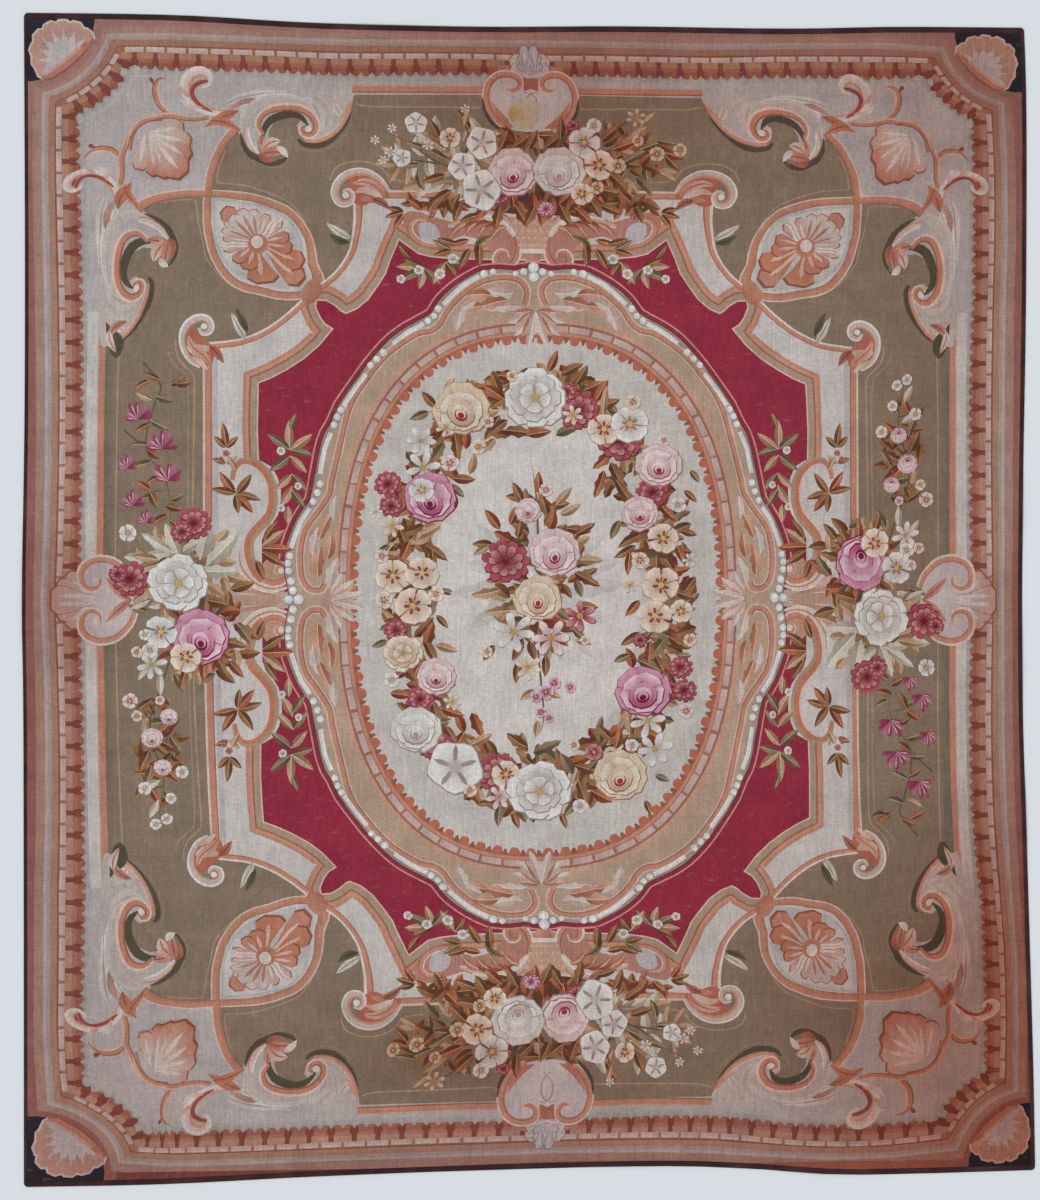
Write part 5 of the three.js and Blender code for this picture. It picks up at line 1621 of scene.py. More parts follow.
@dataclass
class Tapestry:
    """The woven sheet: its face, its edge and its underside are one closed shell."""

    cartoon: Cartoon
    rim: Curve
    grid_step: float = 17.0  # warps between the plain points that let the sheet rise and fall
    back_least: float = 900.0  # square warps: smaller patches don't show through to the underside
    margin: float = 3.0  # warps that the plain points keep clear of the rim

    # The cutter merges points that are nearer than its tolerance, in units of a hundred warps.
    SHRINK, GROW, TOLERANCE = 0.01, 100.0, 5e-5

    # the map: the face's scale and corner, and the same of the underside and of the edge
    FACE_MAP = (0.8, (0.01, 0.19))
    BACK_MAP = (0.16, (0.01, 0.01))
    EDGE_MAP = ((0.5, 0.01), (0.3, 0.05))

    def build(self) -> bpy.types.Object:
        """Makes the mesh, its shading, its colours and its map."""
        face = self.side(0.0, self.grid_step)
        back = self.side(self.back_least, self.grid_step * 1.6)
        log.info("face: %d triangles, underside: %d triangles", len(face[1]), len(back[1]))
        obj = self.shell(face, back)
        obj.data.materials.append(woven_wool())
        return obj

    def side(self, least: float, step: float) -> Side:
        """Cuts the plane along the outlines and keeps the top patch of each triangle.

        Args:
            least: the smallest patch that takes part, in square warps.
            step: how far apart the plain points inside lie, in warps.

        Returns:
            The points on the cartoon, the triangles, and the number of the patch on each triangle.
        """
        outlines, numbers = [], []
        for number, outline in enumerate(self.cartoon.outlines):
            if area_of(outline) >= least:
                outlines.append(outline)
                numbers.append(number)
        low, high = self.rim.min(0) + self.margin, self.rim.max(0) - self.margin
        across, down = (np.arange(low[i], high[i], step) for i in (0, 1))
        grid = np.stack(np.meshgrid(across, down), -1).reshape(-1, 2)
        grid = grid[within(self.rim, grid) & (gap_to(self.rim, grid) > self.margin)]
        loops = [self.rim] + outlines
        ends = np.cumsum([len(loop) for loop in loops])
        follow = np.arange(ends[-1]) + 1
        follow[ends - 1] = np.concatenate([[0], ends[:-1]])
        edges = np.column_stack([np.arange(ends[-1]), follow])
        where, triangles = self.cut(np.vstack(loops), edges, np.zeros((0, 2)))
        top = self.topmost(where[triangles].mean(1), outlines, numbers)
        # Only the lines that part two visible patches are kept, and the cloth is cut afresh.
        where, triangles = self.cut(where, straightened(where, parting_lines(triangles, top)), grid)
        return where, triangles, self.topmost(where[triangles].mean(1), outlines, numbers)

    def cut(self, where: Curve, edges: np.ndarray, extra: Curve) -> tuple[np.ndarray, np.ndarray]:
        """Cuts the sheet into triangles along lines.

        Args:
            where: the lines' points.
            edges: pairs of their numbers.
            extra: plain points to take in as well.

        Returns:
            The points that are in use and the triangles inside the rim.
        """
        used, renumbered = np.unique(edges, return_inverse=True)
        every = np.vstack([where[used], extra]) * self.SHRINK
        lines = renumbered.reshape(-1, 2).tolist()
        found = delaunay_2d_cdt([Vector(p) for p in every], lines, [], 0, self.TOLERANCE, False)
        where, triangles = np.array([tuple(p) for p in found[0]]) * self.GROW, np.array(found[2])
        triangles = triangles[within(self.rim, where[triangles].mean(1))]
        used, renumbered = np.unique(triangles, return_inverse=True)
        return where[used], renumbered.reshape(-1, 3)

    @staticmethod
    def topmost(middle: Curve, outlines: list[Curve], numbers: list[int]) -> np.ndarray:
        """The number of the last patch laid over each point.

        Args:
            middle: the points.
            outlines: the patches' outlines, in the order in which they are laid.
            numbers: their numbers.

        Returns:
            One number for each point.
        """
        order = np.argsort(middle[:, 1])
        ranked = middle[order]
        top = np.zeros(len(middle), int)
        for outline, number in zip(outlines, numbers):
            top[enclosed(outline, ranked)] = number
        result = np.empty_like(top)
        result[order] = top
        return result

    def shell(self, face: Side, back: Side) -> bpy.types.Object:
        """Sets the face over the underside and closes them with the sheet's edge.

        Args:
            face: points, triangles and patches of the face.
            back: the same of the underside.

        Returns:
            The mesh object.
        """
        (face_at, face_cut, face_patch), (back_at, back_cut, back_patch) = face, back
        face_cut, back_cut = upwards(face_at, face_cut), upwards(back_at, back_cut)[:, ::-1]
        top = np.column_stack([on_floor(face_at), lift(face_at) + SHEET_THICKNESS])
        under = np.column_stack([on_floor(back_at), lift(back_at)])
        loop_top, loop_under = rim_loop(face_cut), rim_loop(back_cut)[::-1]
        walls, wall_owner = self.walls(face_at, back_at, loop_top, loop_under, face_cut, face_patch)
        verts = np.vstack([top, under])
        triangles = np.vstack([face_cut, back_cut + len(face_at), walls])
        owner = np.concatenate([face_patch, back_patch, wall_owner])
        plan = np.vstack([face_at, back_at])
        corners = plan[triangles.reshape(-1)]
        # The corner colours hold the dyes together with the soiled places and the painted shade.
        dye = self.dyed(corners, np.repeat(owner, 3))
        obj = mesh_object("tapestry_wool", verts, triangles)
        colours = obj.data.attributes.new("DyeSoilAndShade", "FLOAT_COLOR", "CORNER")
        opaque = np.column_stack([dye, np.ones(len(dye))])
        colours.data.foreach_set("color", opaque.astype(np.float32).ravel())
        slope = slopes(plan)
        up = np.column_stack([-slope, np.ones(len(slope))])
        up = (up / np.linalg.norm(up, axis=1, keepdims=True))[triangles.reshape(-1)]
        facing = np.repeat([1.0, -1.0], [len(face_cut) * 3, len(back_cut) * 3])[:, None]
        normals = np.vstack([up[: len(facing)] * facing, np.repeat(square_to(verts, walls), 3, axis=0)])
        obj.data.normals_split_custom_set(normals.tolist())
        self.map(obj, corners, len(face_cut) * 3, len(facing))
        return obj

    @staticmethod
    def walls(face_at: Curve, back_at: Curve, upper: np.ndarray, lower: np.ndarray, face_cut: np.ndarray,
              face_patch: np.ndarray) -> tuple[np.ndarray, np.ndarray]:
        """Joins the face's rim to the underside's rim with a strip of triangles.

        Args:
            face_at: points of the face.
            back_at: points of the underside.
            upper: the face's rim, in order.
            lower: the underside's rim, in the same order round the sheet.
            face_cut: triangles of the face.
            face_patch: their patches.

        Returns:
            The strip's triangles, numbered with the underside after the face, and their patches.
        """
        start = int(np.argmin(np.linalg.norm(back_at[lower] - face_at[upper[0]], axis=1)))
        lower = np.roll(lower, -start)
        patch_at = np.zeros(len(face_at), int)
        patch_at[face_cut.reshape(-1)] = np.repeat(face_patch, 3)
        loops = []
        for where, loop in ((face_at, upper), (back_at, lower)):
            closed = np.append(loop, loop[0])
            along = np.concatenate([[0], np.cumsum(np.linalg.norm(np.diff(where[closed], axis=0), axis=1))])
            loops.append((closed, along / along[-1]))
        (up, up_at), (low, low_at) = loops
        i = j = 0
        strip, owner = [], []
        while i < len(up) - 1 or j < len(low) - 1:
            if j == len(low) - 1 or (i < len(up) - 1 and up_at[i + 1] <= low_at[j + 1]):
                strip.append((up[i], low[j] + len(face_at), up[i + 1]))
                i += 1
            else:
                strip.append((up[i], low[j] + len(face_at), low[j + 1] + len(face_at)))
                j += 1
            owner.append(patch_at[up[min(i, len(up) - 1)]])
        return np.array(strip), np.array(owner)

    def dyed(self, corners: Curve, patch: np.ndarray) -> np.ndarray:
        """The colour at each corner of each triangle, from its patch's shading.

        Args:
            corners: cartoon points of the corners, one row for each.
            patch: the number of the patch of each corner.

        Returns:
            Linear red, green and blue of each corner.
        """
        book = self.cartoon
        axes, colours, rounds = np.array(book.axes), np.array(book.colours), np.array(book.rounds)
        start, run = axes[patch, 0], axes[patch, 1] - axes[patch, 0]
        long = np.maximum((run**2).sum(1), 1e-6)
        straight = ((corners - start) * run).sum(1) / long
        radial = np.sqrt(((corners - start) ** 2).sum(1) / long)
        share = np.clip(np.where(rounds[patch], radial, straight), 0, 1)[:, None]
        # The dyes are darkened at the soiled places and by the painted shade towards the right side and the
        # corners.
        return (colours[patch, :3] * (1 - share) + colours[patch, 3:] * share) * soiling_and_shade(corners)

    def map(self, obj: bpy.types.Object, corners: Curve, face_end: int, back_end: int) -> None:
        """Lays the face over most of the map, the underside in a strip below, the edge in a thin one.

        Args:
            obj: the sheet.
            corners: cartoon points of its corners.
            face_end: the number of the underside's first corner.
            back_end: the number of the edge's first corner.
        """
        share = (corners - corners.min(0)) / np.ptp(corners, axis=0).max()
        uv = np.empty_like(share)
        parts = (slice(0, face_end), slice(face_end, back_end), slice(back_end, None))
        for part, (scale, corner) in zip(parts, (self.FACE_MAP, self.BACK_MAP, self.EDGE_MAP)):
            uv[part] = share[part] * scale + corner
        layer = obj.data.uv_layers.new(name="OFBake")
        layer.data.foreach_set("uv", uv.astype(np.float32).ravel())


@dataclass
class EdgingTape:
    """A woven tape sewn along one edge: a low rounded profile carried from end to end."""

    node: str
    name: str
    step: float = 3.0  # warps from one cross-section to the next

    # shares of the breadth and of the thickness, from the inner foot round to the outer foot
    PROFILE = points(0, 0, 0, 0.62, 0.07, 0.9, 0.22, 0.985, 0.5, 1, 0.78, 0.985, 0.93, 0.9, 1, 0.62, 1, 0)

    def edges(self) -> tuple[Curve, Curve]:
        """The tape's two long edges as evenly stepped cartoon points, paired across it."""
        rim = node_rim(self.node)
        half = len(rim) // 2
        pairs = []
        for start in range(half):
            turned = np.roll(rim, -start, axis=0)
            one, other = turned[:half], turned[half:][::-1]
            pairs.append((float(np.linalg.norm(one - other, axis=1).max()), start))
        turned = np.roll(rim, -min(pairs)[1], axis=0)
        one, other = turned[:half], turned[half:][::-1]
        along = np.concatenate([[0], np.cumsum(np.linalg.norm(np.diff((one + other) / 2, axis=0), axis=1))])
        stations = np.union1d(np.linspace(0, along[-1], int(along[-1] / self.step)), along)
        return tuple(
            np.column_stack([np.interp(stations, along, column) for column in edge.T])
            for edge in (one, other)
        )

    def build(self) -> bpy.types.Object:
        """Carries the profile along: point (s, t) is one + u(t) (other - one), at height v(t)."""
        one, other = self.edges()
        u, v = self.PROFILE.T
        plan = one[:, None, :] + u[None, :, None] * (other - one)[:, None, :]
        flat = plan.reshape(-1, 2)
        height = lift(flat) + np.tile(v, len(one)) * TAPE_THICKNESS
        verts = np.column_stack([on_floor(flat), height])
        rows, turn = len(one), len(u)
        i, j = np.meshgrid(np.arange(rows - 1), np.arange(turn), indexing="ij")
        k = (j + 1) % turn
        quads = np.stack([i * turn + j, i * turn + k, (i + 1) * turn + k, (i + 1) * turn + j],
                         -1).reshape(-1, 4)
        quads = quads.tolist() + [list(range(turn))[::-1], [(rows - 1) * turn + j for j in range(turn)]]
        mesh = bpy.data.meshes.new(self.name)
        mesh.from_pydata(verts.tolist(), [], quads)
        if signed_volume(verts, np.array(quads[:-2])) < 0:
            mesh.flip_normals()
        mesh.shade_smooth()
        obj = bpy.data.objects.new(self.name, mesh)
        bpy.context.scene.collection.objects.link(obj)
        obj.data.materials.append(edging_wool())
        return obj


def signed_volume(verts: np.ndarray, quads: np.ndarray) -> float:
    """The volume that outward faces enclose, negative where they face inwards."""
    a, b, c, d = (verts[quads[:, k]] for k in range(4))
    return float((a * np.cross(b, c)).sum() + (a * np.cross(c, d)).sum())


def edging_wool() -> bpy.types.Material:
    """Dark brown-red wool tape with a rough fibre, rubbed paler here and there."""
    known = bpy.data.materials.get("dark_edging_wool")
    if known:
        return known
    cloth = Finish("dark_edging_wool", roughness=0.92, sheen=0.15)
    rubs = cloth.noise((9.0, 9.0, 9.0), 4.0, 0.0, 1.0, (0.45, 0.7))
    fibre = cloth.noise((260.0, 260.0, 260.0), 2.0, 0.7, 1.3)
    wool = cloth.node("ShaderNodeRGB")
    wool.outputs[0].default_value = (*linear("352021"), 1.0)
    uneven = cloth.mix("MULTIPLY", 1.0, wool.outputs[0], fibre)
    cloth.link(cloth.mix("MIX", rubs, uneven, (*linear("5a3c38"), 1.0), 0.45),
               cloth.skin.inputs["Base Color"])
    bump = cloth.node("ShaderNodeBump", Strength=0.4, Distance=0.0008)
    cloth.link(fibre, bump.inputs["Height"])
    cloth.link(bump.outputs["Normal"], cloth.skin.inputs["Normal"])
    return cloth.material


def mesh_object(name: str, verts: np.ndarray, faces: np.ndarray) -> bpy.types.Object:
    """A linked mesh object from whole arrays of points and faces."""
    mesh = bpy.data.meshes.new(name)
    mesh.from_pydata(verts.tolist(), [], faces.tolist())
    mesh.update()
    obj = bpy.data.objects.new(name, mesh)
    bpy.context.scene.collection.objects.link(obj)
    return obj


def enclosed(outline: Curve, ranked: Curve) -> np.ndarray:
    """The numbers of the points inside an outline, where the points are ranked by their row.

    Each edge is paired with the points whose rows it spans, and a point lies inside where an odd
    count of its edges lies to its right.
    """
    a, b = outline, np.roll(outline, -1, axis=0)
    first = np.searchsorted(ranked[:, 1], np.minimum(a[:, 1], b[:, 1]))
    last = np.searchsorted(ranked[:, 1], np.maximum(a[:, 1], b[:, 1]))
    counts = last - first
    if not counts.sum():
        return np.zeros(0, int)
    edge = np.repeat(np.arange(len(a)), counts)
    point = np.arange(len(edge)) + np.repeat(first - np.cumsum(counts) + counts, counts)
    lean = (b[:, 0] - a[:, 0]) / np.where(a[:, 1] == b[:, 1], 1.0, b[:, 1] - a[:, 1])
    crossing = a[edge, 0] + (ranked[point, 1] - a[edge, 1]) * lean[edge]
    hits = point[ranked[point, 0] < crossing]
    lowest = int(first.min())
    return lowest + np.flatnonzero(np.bincount(hits - lowest) % 2)


def within(outline: Curve, where: Curve) -> np.ndarray:
    """Which points lie inside an outline."""
    order = np.argsort(where[:, 1])
    inside = np.zeros(len(where), bool)
    inside[order[enclosed(outline, where[order])]] = True
    return inside


def parting_lines(triangles: np.ndarray, top: np.ndarray) -> np.ndarray:
    """The edges between triangles of different patches, and those with a triangle on one side only."""
    edges = np.sort(np.vstack([triangles[:, [0, 1]], triangles[:, [1, 2]], triangles[:, [2, 0]]]), axis=1)
    owner = np.tile(top, 3)
    keys = edges[:, 0].astype(np.int64) * (edges.max() + 1) + edges[:, 1]
    order = np.argsort(keys, kind="stable")
    keys, edges, owner = keys[order], edges[order], owner[order]
    same_next = np.append(keys[1:] == keys[:-1], False)
    same_last = np.insert(keys[1:] == keys[:-1], 0, False)
    parted = same_next & (owner != np.roll(owner, -1))
    return edges[parted | ~(same_next | same_last)]


def gap_to(outline: Curve, where: Curve) -> np.ndarray:
    """How far each point lies from an outline's nearest corner."""
    return np.sqrt(((where[:, None, :] - outline[None, :, :]) ** 2).sum(2)).min(1)


def square_to(verts: np.ndarray, triangles: np.ndarray) -> np.ndarray:
    """The unit vector square to each triangle."""
    a, b, c = (verts[triangles[:, i]] for i in range(3))
    square = np.cross(b - a, c - a)
    return square / np.maximum(np.linalg.norm(square, axis=1, keepdims=True), 1e-12)


def upwards(where: Curve, triangles: np.ndarray) -> np.ndarray:
    """The triangles with their corners in the order that faces up, rows running downwards."""
    a, b, c = (where[triangles[:, i]] for i in range(3))
    turn = (b[:, 0] - a[:, 0]) * (c[:, 1] - a[:, 1]) - (b[:, 1] - a[:, 1]) * (c[:, 0] - a[:, 0])
    return np.where((turn > 0)[:, None], triangles[:, ::-1], triangles)


def straightened(where: Curve, edges: np.ndarray, slack: float = 0.2, rounds: int = 5) -> np.ndarray:
    """Lines without the points that lie on a straight run, where two edges become one.

    Args:
        where: the points.
        edges: pairs of their numbers.
        slack: how far off the straight run a point may lie, in warps.
        rounds: how often the lines are gone over; neighbours don't leave in the same round.

    Returns:
        The edges that are left.
    """
    rank = np.random.default_rng(5).permutation(len(where))
    for _ in range(rounds):
        ends = edges.reshape(-1)
        order = np.argsort(ends, kind="stable")
        first = np.searchsorted(ends[order], np.arange(len(where)))
        middle = np.flatnonzero(np.bincount(ends, minlength=len(where)) == 2)
        one, two = order[first[middle]], order[first[middle] + 1]
        before, after = ends[one ^ 1], ends[two ^ 1]
        run = where[after] - where[before]
        off = where[middle] - where[before]
        long = np.maximum(np.linalg.norm(run, axis=1), 1e-9)
        aside = np.abs(run[:, 0] * off[:, 1] - run[:, 1] * off[:, 0]) / long
        share = (run * off).sum(1) / long**2
        loose = (aside < slack) & (share > 0) & (share < 1)
        standing = np.full(len(where), -1)
        standing[middle[loose]] = rank[middle[loose]]
        leaves = loose & (rank[middle] > standing[before]) & (rank[middle] > standing[after])
        edges[one[leaves] // 2] = np.column_stack([before[leaves], after[leaves]])
        edges = np.delete(edges, two[leaves] // 2, axis=0)
    return edges


def rim_loop(triangles: np.ndarray) -> np.ndarray:
    """The edge points of a patch of triangles, in order, from the edges that only one triangle has."""
    edges = np.vstack([triangles[:, [0, 1]], triangles[:, [1, 2]], triangles[:, [2, 0]]]).astype(np.int64)
    scale = edges.max() + 1
    lone = edges[~np.isin(edges[:, 0] * scale + edges[:, 1], edges[:, 1] * scale + edges[:, 0])]
    follow = dict(lone.tolist())
    first = min(follow)
    loop, here = [first], follow[first]
    while here != first:
        loop.append(here)
        here = follow[here]
    return np.array(loop)


def on_floor(where: Curve) -> np.ndarray:
    """Metres across and up the frame from cartoon points."""
    return (where - CARTOON_MIDDLE) * (WARP, -WARP) - BOX_MIDDLE


def on_cartoon(where: np.ndarray) -> Curve:
    """Cartoon points from metres across and up the frame."""
    return (where + BOX_MIDDLE) / (WARP, -WARP) + CARTOON_MIDDLE


# Soft rises where the cloth isn't quite flat: column and row from the middle, half width and half
# length in warps, and height in metres.
RISES = np.array([
    (-322, 430, 34, 230, 0.0022), (252, 420, 34, 260, 0.0024), (494, 90, 90, 60, 0.0032),
    (498, -60, 100, 64, 0.0036), (500, -210, 90, 60, 0.0030), (110, -560, 70, 100, 0.0034),
    (300, -556, 74, 96, 0.0030), (-150, 560, 90, 90, 0.0026), (-500, 10, 80, 90, 0.0028),
    (-180, -540, 90, 90, 0.0024),
])


def lift(where: Curve) -> np.ndarray:
    """How far the cloth's underside is off the floor: the highest (1 - d^2)^2 of the rises."""
    east, north, wide, tall, high = RISES.T
    x = (where[:, :1] - CARTOON_MIDDLE[0] - east) / wide
    y = (CARTOON_MIDDLE[1] - where[:, 1:2] - north) / tall
    return (high * np.maximum(0, 1 - x * x - y * y) ** 2).max(1)


# Soiled places, and painted shade where the light falls off towards the right side and the corners,
# with one place made lighter by a negative strength: column, row, reach across and down in warps,
# and how much darker they are.
SOILED_AND_SHADED = np.array([
    (985, 60, 190, 200, 0.40), (1000, 1130, 260, 230, 0.50), (60, 1150, 200, 180, 0.22),
    (560, 40, 260, 70, 0.24), (1010, 900, 90, 240, 0.34), (1000, 330, 60, 160, 0.10),
    (30, 760, 60, 220, 0.16), (880, 1000, 150, 140, 0.12), (700, 150, 130, 80, 0.10),
    (915, 420, 50, 150, 0.14), (480, 1168, 340, 30, 0.3), (545, 130, 140, 90, 0.3),
    (540, 1080, 150, 80, 0.22), (70, 600, 50, 60, 0.26), (1000, 600, 50, 60, 0.16),
    (890, 590, 70, 90, 0.12), (660, 600, 60, 180, 0.07), (200, 560, 130, 300, -0.05),
    (420, 1060, 120, 40, 0.2),
])
SOIL_AND_SHADE_TINT = np.array([0.55, 0.98, 1.1])  # how much of the darkening falls on red, green and blue
MOST_DARKENING = 0.62  # the most that places which overlap darken together


def soiling_and_shade(where: Curve) -> np.ndarray:
    """What the dyes are multiplied by at places: 1 less a soft bell about each soiled place and each place
    of painted shade.
    """
    column, row, wide, tall, strength = SOILED_AND_SHADED.T
    bell = np.exp(-(((where[:, :1] - column) / wide) ** 2) - ((where[:, 1:2] - row) / tall) ** 2)
    return 1 - np.minimum((bell * strength).sum(1), MOST_DARKENING)[:, None] * SOIL_AND_SHADE_TINT


def slopes(where: Curve) -> np.ndarray:
    """How steeply the cloth rises across and up the frame, from points a half warp to either side."""
    x, y = np.array([0.5, 0.0]), np.array([0.0, -0.5])
    return np.column_stack([lift(where + x) - lift(where - x), lift(where + y) - lift(where - y)]) / WARP


def woven_wool() -> bpy.types.Material:
    """Flat-woven dyed wool: the dye of each patch with its soiled places and painted shade, uneven dye lots,
    slubs, ribs and wear.
    """
    cloth = Finish("flat_woven_wool", roughness=0.93, sheen=0.12)
    dye = cloth.node("ShaderNodeAttribute")
    dye.attribute_name = "DyeSoilAndShade"
    lots = cloth.noise((1.3, 16.0, 1.0), 3.0, 0.95, 1.05)
    cloudy = cloth.noise((9.0, 9.0, 9.0), 5.0, 0.9, 1.1)
    slubs = cloth.noise((70.0, 190.0, 70.0), 3.0, 0.87, 1.13)
    streaks = cloth.noise((210.0, 18.0, 100.0), 3.0, 0.88, 1.12)
    worn = cloth.noise((26.0, 70.0, 20.0), 6.0, 0.0, 1.0, (0.6, 0.76))
    tone = cloth.product(cloth.product(lots, cloudy), cloth.product(slubs, streaks))
    uneven = cloth.mix("MULTIPLY", 1.0, dye.outputs["Color"], tone)
    rubbed = cloth.mix("MIX", worn, uneven, (*linear("b3a090"), 1.0), 0.2)
    cloth.link(rubbed, cloth.skin.inputs["Base Color"])
    place = cloth.node("ShaderNodeTexCoord").outputs["Object"]
    ribs = cloth.node("ShaderNodeTexWave", Scale=2 * math.pi / (20 * WARP), Distortion=0.5, Detail=2.0)
    ribs.bands_direction = "Y"
    cloth.link(place, ribs.inputs["Vector"])
    relief = cloth.product(ribs.outputs["Fac"], slubs)
    bump = cloth.node("ShaderNodeBump", Strength=0.35, Distance=0.0012)
    cloth.link(relief, bump.inputs["Height"])
    cloth.link(bump.outputs["Normal"], cloth.skin.inputs["Normal"])
    return cloth.material


@dataclass
class Finish:
    """A material under construction: nodes are added by kind and joined by socket."""

    name: str
    roughness: float
    sheen: float = 0.0

    def __post_init__(self) -> None:
        """Starts the material with a plain surface."""
        self.material = bpy.data.materials.new(self.name)
        self.material.use_nodes = True
        self.tree = self.material.node_tree
        self.skin = self.tree.nodes["Principled BSDF"]
        self.skin.inputs["Roughness"].default_value = self.roughness
        self.skin.inputs["Specular IOR Level"].default_value = 0.1
        self.skin.inputs["Sheen Weight"].default_value = self.sheen

    def node(self, kind: str, **values: object) -> bpy.types.Node:
        """A new node, with input sockets set by name."""
        made = self.tree.nodes.new(kind)
        for name, value in values.items():
            made.inputs[name].default_value = value
        return made

    def link(self, source: bpy.types.NodeSocket, target: bpy.types.NodeSocket) -> None:
        """Joins an output to an input."""
        self.tree.links.new(source, target)

    def noise(self, scale: tuple[float, float, float], detail: float, low: float, high: float,
              window: tuple[float, float] = (0.3, 0.7)) -> bpy.types.NodeSocket:
        """Smooth noise over the cloth, stretched by axis, its window spread from low to high.

        Args:
            scale: how many swings a metre has along each axis.
            detail: how many finer layers it has.
            low: the value below the window.
            high: the value above it.
            window: the part of the noise that is spread.

        Returns:
            The value's socket.
        """
        place = self.node("ShaderNodeMapping", Scale=scale)
        self.link(self.node("ShaderNodeTexCoord").outputs["Object"], place.inputs["Vector"])
        noise = self.node("ShaderNodeTexNoise", Scale=1.0, Detail=detail, Roughness=0.55)
        self.link(place.outputs["Vector"], noise.inputs["Vector"])
        spread = self.node("ShaderNodeMapRange")
        for name, value in zip(("From Min", "From Max", "To Min", "To Max"), (*window, low, high)):
            spread.inputs[name].default_value = value
        self.link(noise.outputs["Fac"], spread.inputs["Value"])
        return spread.outputs["Result"]

    def product(self, one: bpy.types.NodeSocket, other: bpy.types.NodeSocket) -> bpy.types.NodeSocket:
        """The product of two values."""
        times = self.node("ShaderNodeMath")
        times.operation = "MULTIPLY"
        self.link(one, times.inputs[0])
        self.link(other, times.inputs[1])
        return times.outputs[0]

    def mix(self, kind: str, share: float | bpy.types.NodeSocket, below: bpy.types.NodeSocket,
            above: bpy.types.NodeSocket | tuple, strength: float = 1.0) -> bpy.types.NodeSocket:
        """Two colours blended.

        Args:
            kind: the blend's type.
            share: how much of the upper colour shows.
            below: the lower colour.
            above: the upper colour, a socket or red, green, blue and alpha.
            strength: what the share is multiplied by, where it is a socket.

        Returns:
            The colour's socket.
        """
        blend = self.node("ShaderNodeMix")
        blend.data_type = "RGBA"
        blend.blend_type = kind
        factor, one, two = blend.inputs[0], blend.inputs[6], blend.inputs[7]
        if isinstance(share, float):
            factor.default_value = share
        else:
            weaker = self.node("ShaderNodeMath")
            weaker.operation = "MULTIPLY"
            weaker.inputs[1].default_value = strength
            self.link(share, weaker.inputs[0])
            self.link(weaker.outputs[0], factor)
        self.link(below, one)
        if isinstance(above, tuple):
            two.default_value = above
        else:
            self.link(above, two)
        return blend.outputs[2]


def plain(name: str, code: str) -> bpy.types.Material:
    """A plain matt material of one colour."""
    finish = Finish(name, roughness=0.95)
    finish.skin.inputs["Base Color"].default_value = (*linear(code), 1.0)
    return finish.material


@dataclass
class Studio:
    """The floor, the light and the camera straight above the rug."""

    middle: tuple[float, float] = (520.0, 600.0)  # the picture's middle on the cartoon
    tall: float = 1200.0  # warps from the picture's top to its bottom
    lens: float = 85.0
    sensor: float = 36.0
    floor_reach: float = 30.0  # metres from the middle to each side of the floor
    floor_drop: float = 0.0002  # metres that the floor lies under the rug
    sky: tuple[float, float, float, float] = (0.97, 0.985, 1.0, 1.0)
    sky_strength: float = 0.72
    sun_energy: float = 1.0
    sun_spread: float = 14.0  # degrees across the sun, which softens the shadows
    sun_lean: tuple[float, float] = (32.0, -34.0)  # degrees from straight down, about x and y

    def build(self) -> None:
        """Sets the floor, the light and the camera."""
        floor = self.floor()
        self.light()
        self.camera()
        bpy.context.scene.view_settings.view_transform = "Standard"

    def floor(self) -> bpy.types.Object:
        """The pale floor, a little under the rug."""
        reach = self.floor_reach
        corners = np.array([(-reach, -reach, 0), (reach, -reach, 0), (reach, reach, 0), (-reach, reach, 0)])
        floor = mesh_object("floor", corners - (0, 0, self.floor_drop), np.array([(0, 1, 2, 3)]))
        floor.data.materials.append(plain("pale_floor", "dfe4e9"))
        return floor

    def light(self) -> None:
        """Even light from all round, and a soft sun as through a window."""
        world = bpy.data.worlds.new("even_light")
        world.use_nodes = True
        sky = world.node_tree.nodes["Background"]
        sky.inputs["Color"].default_value = self.sky
        sky.inputs["Strength"].default_value = self.sky_strength
        bpy.context.scene.world = world
        sun_data = bpy.data.lights.new("window", "SUN")
        sun_data.energy = self.sun_energy
        sun_data.angle = math.radians(self.sun_spread)
        sun = bpy.data.objects.new("window", sun_data)
        sun.rotation_euler = (math.radians(self.sun_lean[0]), math.radians(self.sun_lean[1]), 0)
        bpy.context.scene.collection.objects.link(sun)

    def camera(self) -> None:
        """The camera straight above, as high as its lens needs to take the picture in."""
        data = bpy.data.cameras.new("camera")
        data.lens = self.lens
        data.sensor_width = data.sensor_height = self.sensor
        data.sensor_fit = "VERTICAL"
        camera = bpy.data.objects.new("camera", data)
        x, y = on_floor(np.array([self.middle]))[0]
        camera.location = (x, y, self.tall * WARP * self.lens / self.sensor)
        bpy.context.scene.collection.objects.link(camera)
        bpy.context.scene.camera = camera


def node_rim(name: str) -> Curve:
    """The outline of a frame node's upper face, as cartoon points."""
    mesh = bpy.data.objects[name].data
    mesh.calc_loop_triangles()
    verts = np.array([bpy.data.objects[name].matrix_world @ v.co for v in mesh.vertices])
    keys = np.unique(np.round(verts * 1e5).astype(int), axis=0, return_inverse=True)[1].reshape(-1)
    triangles = np.array([t.vertices for t in mesh.loop_triangles])
    up = square_to(verts, triangles)[:, 2] > 0.5
    loop = rim_loop(keys[triangles[up]])
    first = {key: i for i, key in reversed(list(enumerate(keys.tolist())))}
    return on_cartoon(verts[[first[key] for key in loop.tolist()], :2])


def motifs(cartoon: Cartoon) -> list[Motif]:
    """The rug's motifs, in the order in which they are laid over each other."""
    return [
        Borders(cartoon), Field(cartoon), CornerShell(cartoon), Spandrel(cartoon), StrapFrame(cartoon),
        Crests(cartoon), Medallion(cartoon),
        Posy(cartoon, FRAME_BERRIES, FRAME_SPRIGS, FOUR, seed=11),
        *wreath_and_heart(cartoon), *crowns(cartoon), *side_bouquets(cartoon),
    ]


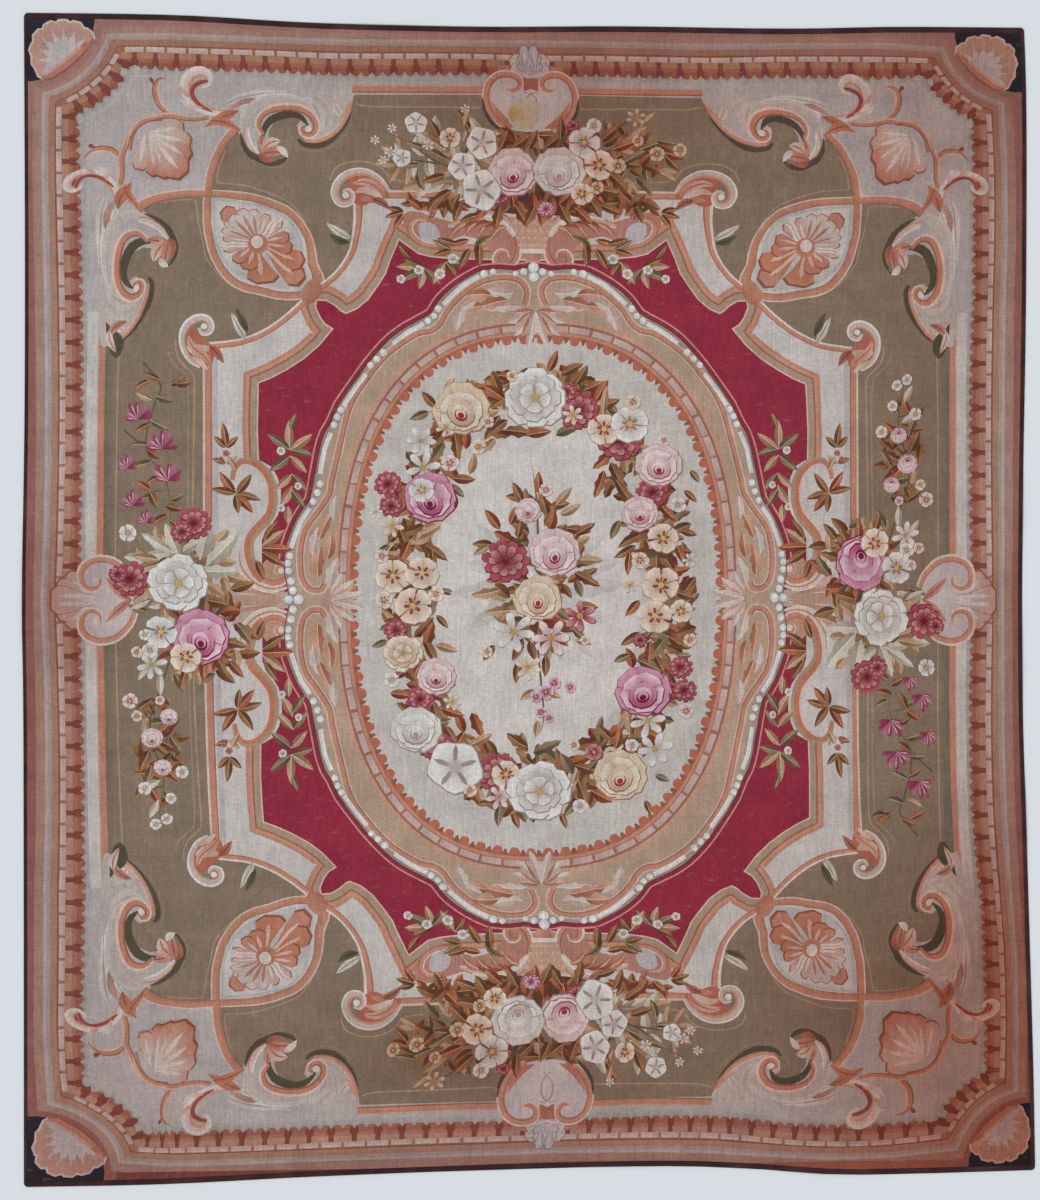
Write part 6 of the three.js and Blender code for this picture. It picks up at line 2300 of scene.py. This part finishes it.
def wreath_and_heart(cartoon: Cartoon) -> list[Motif]:
    """The ring of flowers round the pale oval, and the spray in its middle."""
    return [
        Bedding(cartoon, (537, 592), (153, 222), 0.66, 440, (20, 32), FOLIAGE, seed=5),
        Posy(cartoon, WREATH_FLOWERS, WREATH_LEAVES),
        Posy(cartoon, [], GHOST_LEAVES),
        Bedding(cartoon, (541, 578), (46, 84), 0.0, 90, (18, 28), FOLIAGE, 60, seed=8),
        Posy(cartoon, HEART_FLOWERS, HEART_LEAVES, stems=HEART_STEMS),
    ]


def crowns(cartoon: Cartoon) -> list[Motif]:
    """The bouquets above and below the medallion."""
    under = [
        Bedding(cartoon, middle, reach, 0.0, count, length, skeins, splay, TURNED, seed)
        for middle, reach, count, length, skeins, splay, seed in (
            ((452, 160), (68, 36), 56, (16, 26), PALE_FOLIAGE, 60, 12),
            ((612, 160), (66, 34), 60, (16, 28), FOLIAGE, 60, 13),
            ((536, 142), (56, 14), 26, (14, 24), FOLIAGE, 60, 14),
            ((438, 204), (38, 7), 13, (15, 23), DARK_FOLIAGE, 50, 21),
            ((630, 206), (30, 9), 12, (15, 23), DARK_FOLIAGE, 50, 22),
        )
    ]
    foot = Bedding(cartoon, (548, 200), (76, 16), 0.0, 44, (16, 28), DARK_FOLIAGE[::-1], 70, TURNED, 9,
                   "55392c")
    return [foot, *under, Posy(cartoon, CROWN_FLOWERS, CROWN_LEAVES, TURNED, stems=CROWN_STEMS)]


def side_bouquets(cartoon: Cartoon) -> list[Motif]:
    """The bouquets left and right of the medallion."""
    under = [
        Bedding(cartoon, middle, reach, 0.0, count, length, skeins, splay, TURNED, seed)
        for middle, reach, count, length, skeins, splay, seed in (
            ((186, 580), (54, 50), 40, (22, 36), PALE_FOLIAGE, 60, 15),
            ((206, 640), (46, 44), 46, (20, 32), FOLIAGE, 60, 10),
            ((158, 752), (26, 52), 30, (16, 26), FOLIAGE, 80, 16),
        )
    ]
    return [*under, Posy(cartoon, SIDE_FLOWERS, SIDE_LEAVES, TURNED, stems=SIDE_STEMS)]


def edged() -> list[bpy.types.Object]:
    """Builds the tapes, each on its own node."""
    tapes = []
    for side in ("left", "right", "top_left", "top_right", "bottom"):
        tape = EdgingTape("edging_" + side, "edging_tape_" + side).build()
        log.info("%s: %d faces", tape.name, len(tape.data.polygons))
        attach(tape, "root")
        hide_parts("edging_" + side)
        tapes.append(tape)
    return tapes


def main() -> None:
    """Draws the cartoon, weaves the sheet, edges it and reports each piece."""
    logging.basicConfig(level=logging.INFO, format="%(message)s")
    cartoon = Cartoon()
    for motif in motifs(cartoon):
        before = len(cartoon.outlines)
        motif.draw()
        log.info("%s: %d patches", type(motif).__name__.lower(), len(cartoon.outlines) - before)
    cartoon.settle()
    rim = node_rim("tapestry")
    rug = Tapestry(cartoon, rim).build()
    log.info("%s: %d triangles", rug.name, len(rug.data.polygons))
    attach(rug, "root")
    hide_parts("tapestry")
    tapes = edged()
    Studio().build()


if __name__ == "__main__":
    main()
